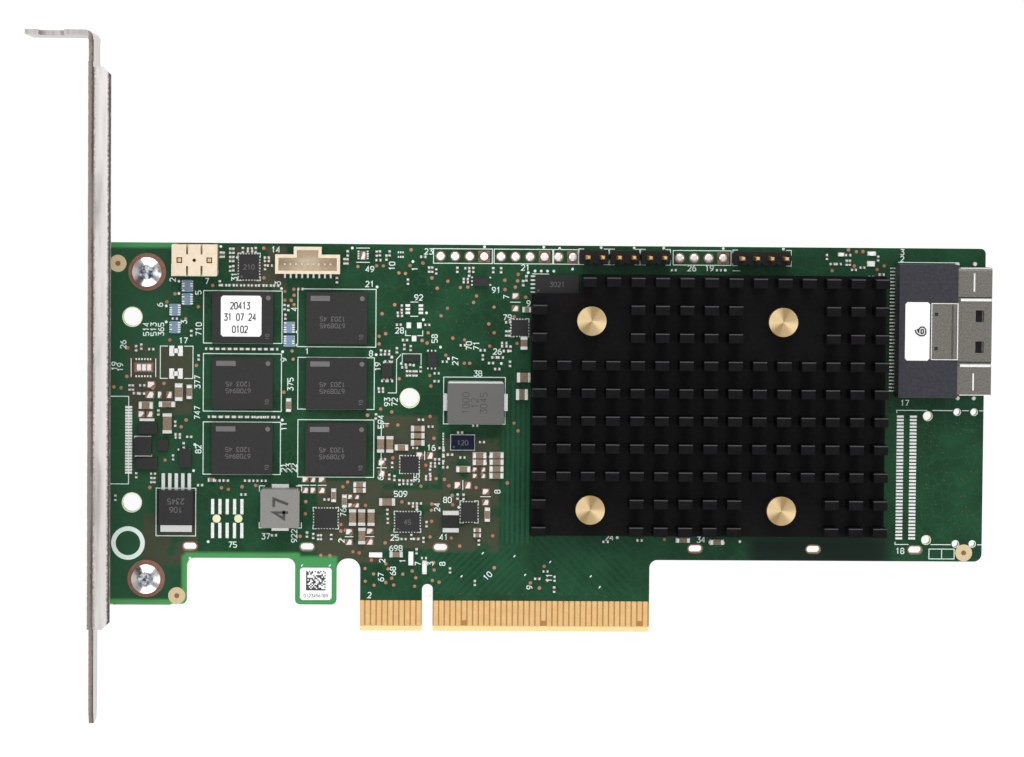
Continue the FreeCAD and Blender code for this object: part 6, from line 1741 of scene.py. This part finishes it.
@dataclass
class ConnectorDetails:
    """Painted highlights on the cable connector's shell and plate, and the shell's soldered feet.
    """

    highlight_bands: tuple[tuple[float, float, float, float], ...] = (
        (95.15, 62.3, 0.26, 3.2), (95.15, 44.9, 0.26, 3.0), (95.5, 59.25, 5.4, 0.46),
        (95.5, 47.75, 5.4, 0.46), (92.35, 53.7, 0.14, 9.9), (91.95, 53.7, 0.12, 9.9),
        (95.4, 64.8, 5.4, 0.14), (95.4, 42.6, 5.4, 0.14))
    feet: tuple[Spot, ...] = ((93.0, 65.3), (96.1, 65.35), (93.35, 41.75), (96.2, 41.75))

    def build(self) -> None:
        """Adds the shell's bands of painted highlight, the plate's bright rim of painted highlight
        and the shell's soldered feet.
        """
        low, high = box_mm("cable_connector_plate")
        # Painted highlight along the plate's raised rim.
        rim = Sheet(thick=0.008, level=high.z)
        rim.outline((low.x + 0.1, low.y + 0.1), (high.x - 0.1, high.y - 0.1), 0.13)
        add_piece("plate_rim", rim.mesh("plate_rim"), Paint.SOLDER)
        feet = Shape()
        for spot in self.feet:
            feet.disc(spot, 0.44, -0.02, 0.35, 16, 0.16)
        add_piece("shell_feet", feet.mesh("shell_feet"), Paint.SOLDER)
        # Painted highlights along the shell's edges.
        bands = Sheet(thick=0.008, level=box_mm("cable_connector_shell")[1].z)
        for x, y, long, deep in self.highlight_bands:
            bands.rect(x, y, long, deep)
        add_piece("shell_rubs", bands.mesh("shell_rubs"), Paint.SOLDER)


# ---------------------------------------------------------------------------------------------
# CAD nodes
# ---------------------------------------------------------------------------------------------

class Frame:
    """The CAD nodes, dressed where they stand."""

    def dress(self) -> None:
        """Gives every CAD node its slot's finish."""
        slots = {part["node"]: part["material_slot"] for part in frame["record"]["subparts"]}
        for name, node in frame["nodes"].items():
            finish = NODE_FINISHES[slots[name]]
            node.data.materials.clear()
            node.data.materials.append(finish.material())
            LOG.info("%s: %s", name, finish.name)


# ---------------------------------------------------------------------------------------------
# Studio
# ---------------------------------------------------------------------------------------------

@dataclass
class Studio:
    """The pale floor, the soft light and the camera."""

    eye: tuple[float, float, float] = (-0.0085929, 0.0798056, 0.694547)
    turn: tuple[float, float, float] = (-2.91011, -1.88934, 0.47249)
    lens: float = 139.097
    floor_side: float = 4.0
    floor_glow: float = 0.93
    aim: tuple[float, float, float] = (0.02, 0.03, 0.0)
    light_side: float = 0.7
    lights: tuple[tuple[str, tuple[float, float, float], float], ...] = (
        ("softbox_top", (0.02, 0.75, 0.75), 6.2), ("softbox_left", (-0.75, 0.05, 0.65), 2.6),
        ("softbox_right", (0.80, 0.00, 0.65), 2.6), ("softbox_near", (0.02, -0.70, 0.70), 2.6))

    def build(self) -> None:
        """Sets up everything that isn't the object."""
        self.floor()
        self.sky()
        for name, place, power in self.lights:
            self.light(name, place, power)
        self.camera()

    def floor(self) -> None:
        """A pale sheet just under the card."""
        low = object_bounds()[0][2]
        shape = Shape()
        side = self.floor_side / MM
        level = low / MM - 0.02
        shape.block((-side, -side), (side, side), level - 2.0, level)
        sheet = bpy.data.objects.new("floor", shape.mesh("floor"))
        bpy.context.scene.collection.objects.link(sheet)
        material = bpy.data.materials.new("floor_sheet")
        material.use_nodes = True
        material.node_tree.nodes.clear()
        graph = Graph(material.node_tree)
        color = graph.mix(graph.noise(40.0), (0.13, 0.13, 0.13), (0.16, 0.16, 0.16))
        shader = graph.add("ShaderNodeBsdfPrincipled", {
            "Base Color": color, "Roughness": 0.9, "Emission Color": (1.0, 1.0, 1.0, 1.0),
            "Emission Strength": self.floor_glow})
        finish_output(graph, shader)
        sheet.data.materials.append(material)
        sheet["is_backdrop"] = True

    def sky(self) -> None:
        """An even white surround with a darker patch overhead, as round a lens."""
        world = bpy.data.worlds.new("surround")
        bpy.context.scene.world = world
        world.use_nodes = True
        graph = Graph(world.node_tree)
        world.node_tree.nodes.clear()
        place = graph.add("ShaderNodeTexCoord", output="Generated")
        up = graph.split(place)[2]
        color = graph.mix(graph.fit(up, 0.90, 0.95), (0.34, 0.34, 0.35), (0.80, 0.81, 0.82))
        background = graph.add("ShaderNodeBackground", {"Color": color, "Strength": 1.0})
        output = graph.tree.nodes.new("ShaderNodeOutputWorld")
        graph.tree.links.new(background, output.inputs["Surface"])

    def light(self, name: str, place: tuple[float, float, float], power: float) -> None:
        """Adds one square soft light that faces the card.

        Args:
            name: The light's name.
            place: Where it stands, in metres.
            power: Its power, in watts.
        """
        lamp = bpy.data.lights.new(name, "AREA")
        lamp.shape, lamp.size, lamp.energy = "SQUARE", self.light_side, power
        holder = bpy.data.objects.new(name, lamp)
        holder.location = place
        way = Vector(self.aim) - Vector(place)
        holder.rotation_euler = way.to_track_quat("-Z", "Y").to_euler()
        bpy.context.scene.collection.objects.link(holder)

    def camera(self) -> None:
        """Sets the camera over the component side."""
        data = bpy.data.cameras.new("camera")
        data.lens, data.sensor_width = self.lens, 36.0
        data.clip_start, data.clip_end = 0.01, 20.0
        holder = bpy.data.objects.new("camera", data)
        holder.location = self.eye
        holder.rotation_euler = tuple(math.radians(v) for v in self.turn)
        bpy.context.scene.collection.objects.link(holder)
        bpy.context.scene.camera = holder
        bpy.context.scene.view_settings.view_transform = "Standard"


def main() -> None:
    """Builds the classes in order."""
    logging.basicConfig(level=logging.INFO, format="%(name)s %(message)s")
    Frame().dress()
    for part in (Silkscreen(), Plating(), Vias(), SolderPads(), TinyParts(), EndedParts(),
                 ChipMarks(), LabelPrints(), PushPinSprings(), ConnectorDetails()):
        part.build()
    Studio().build()


if __name__ == "__main__":
    main()
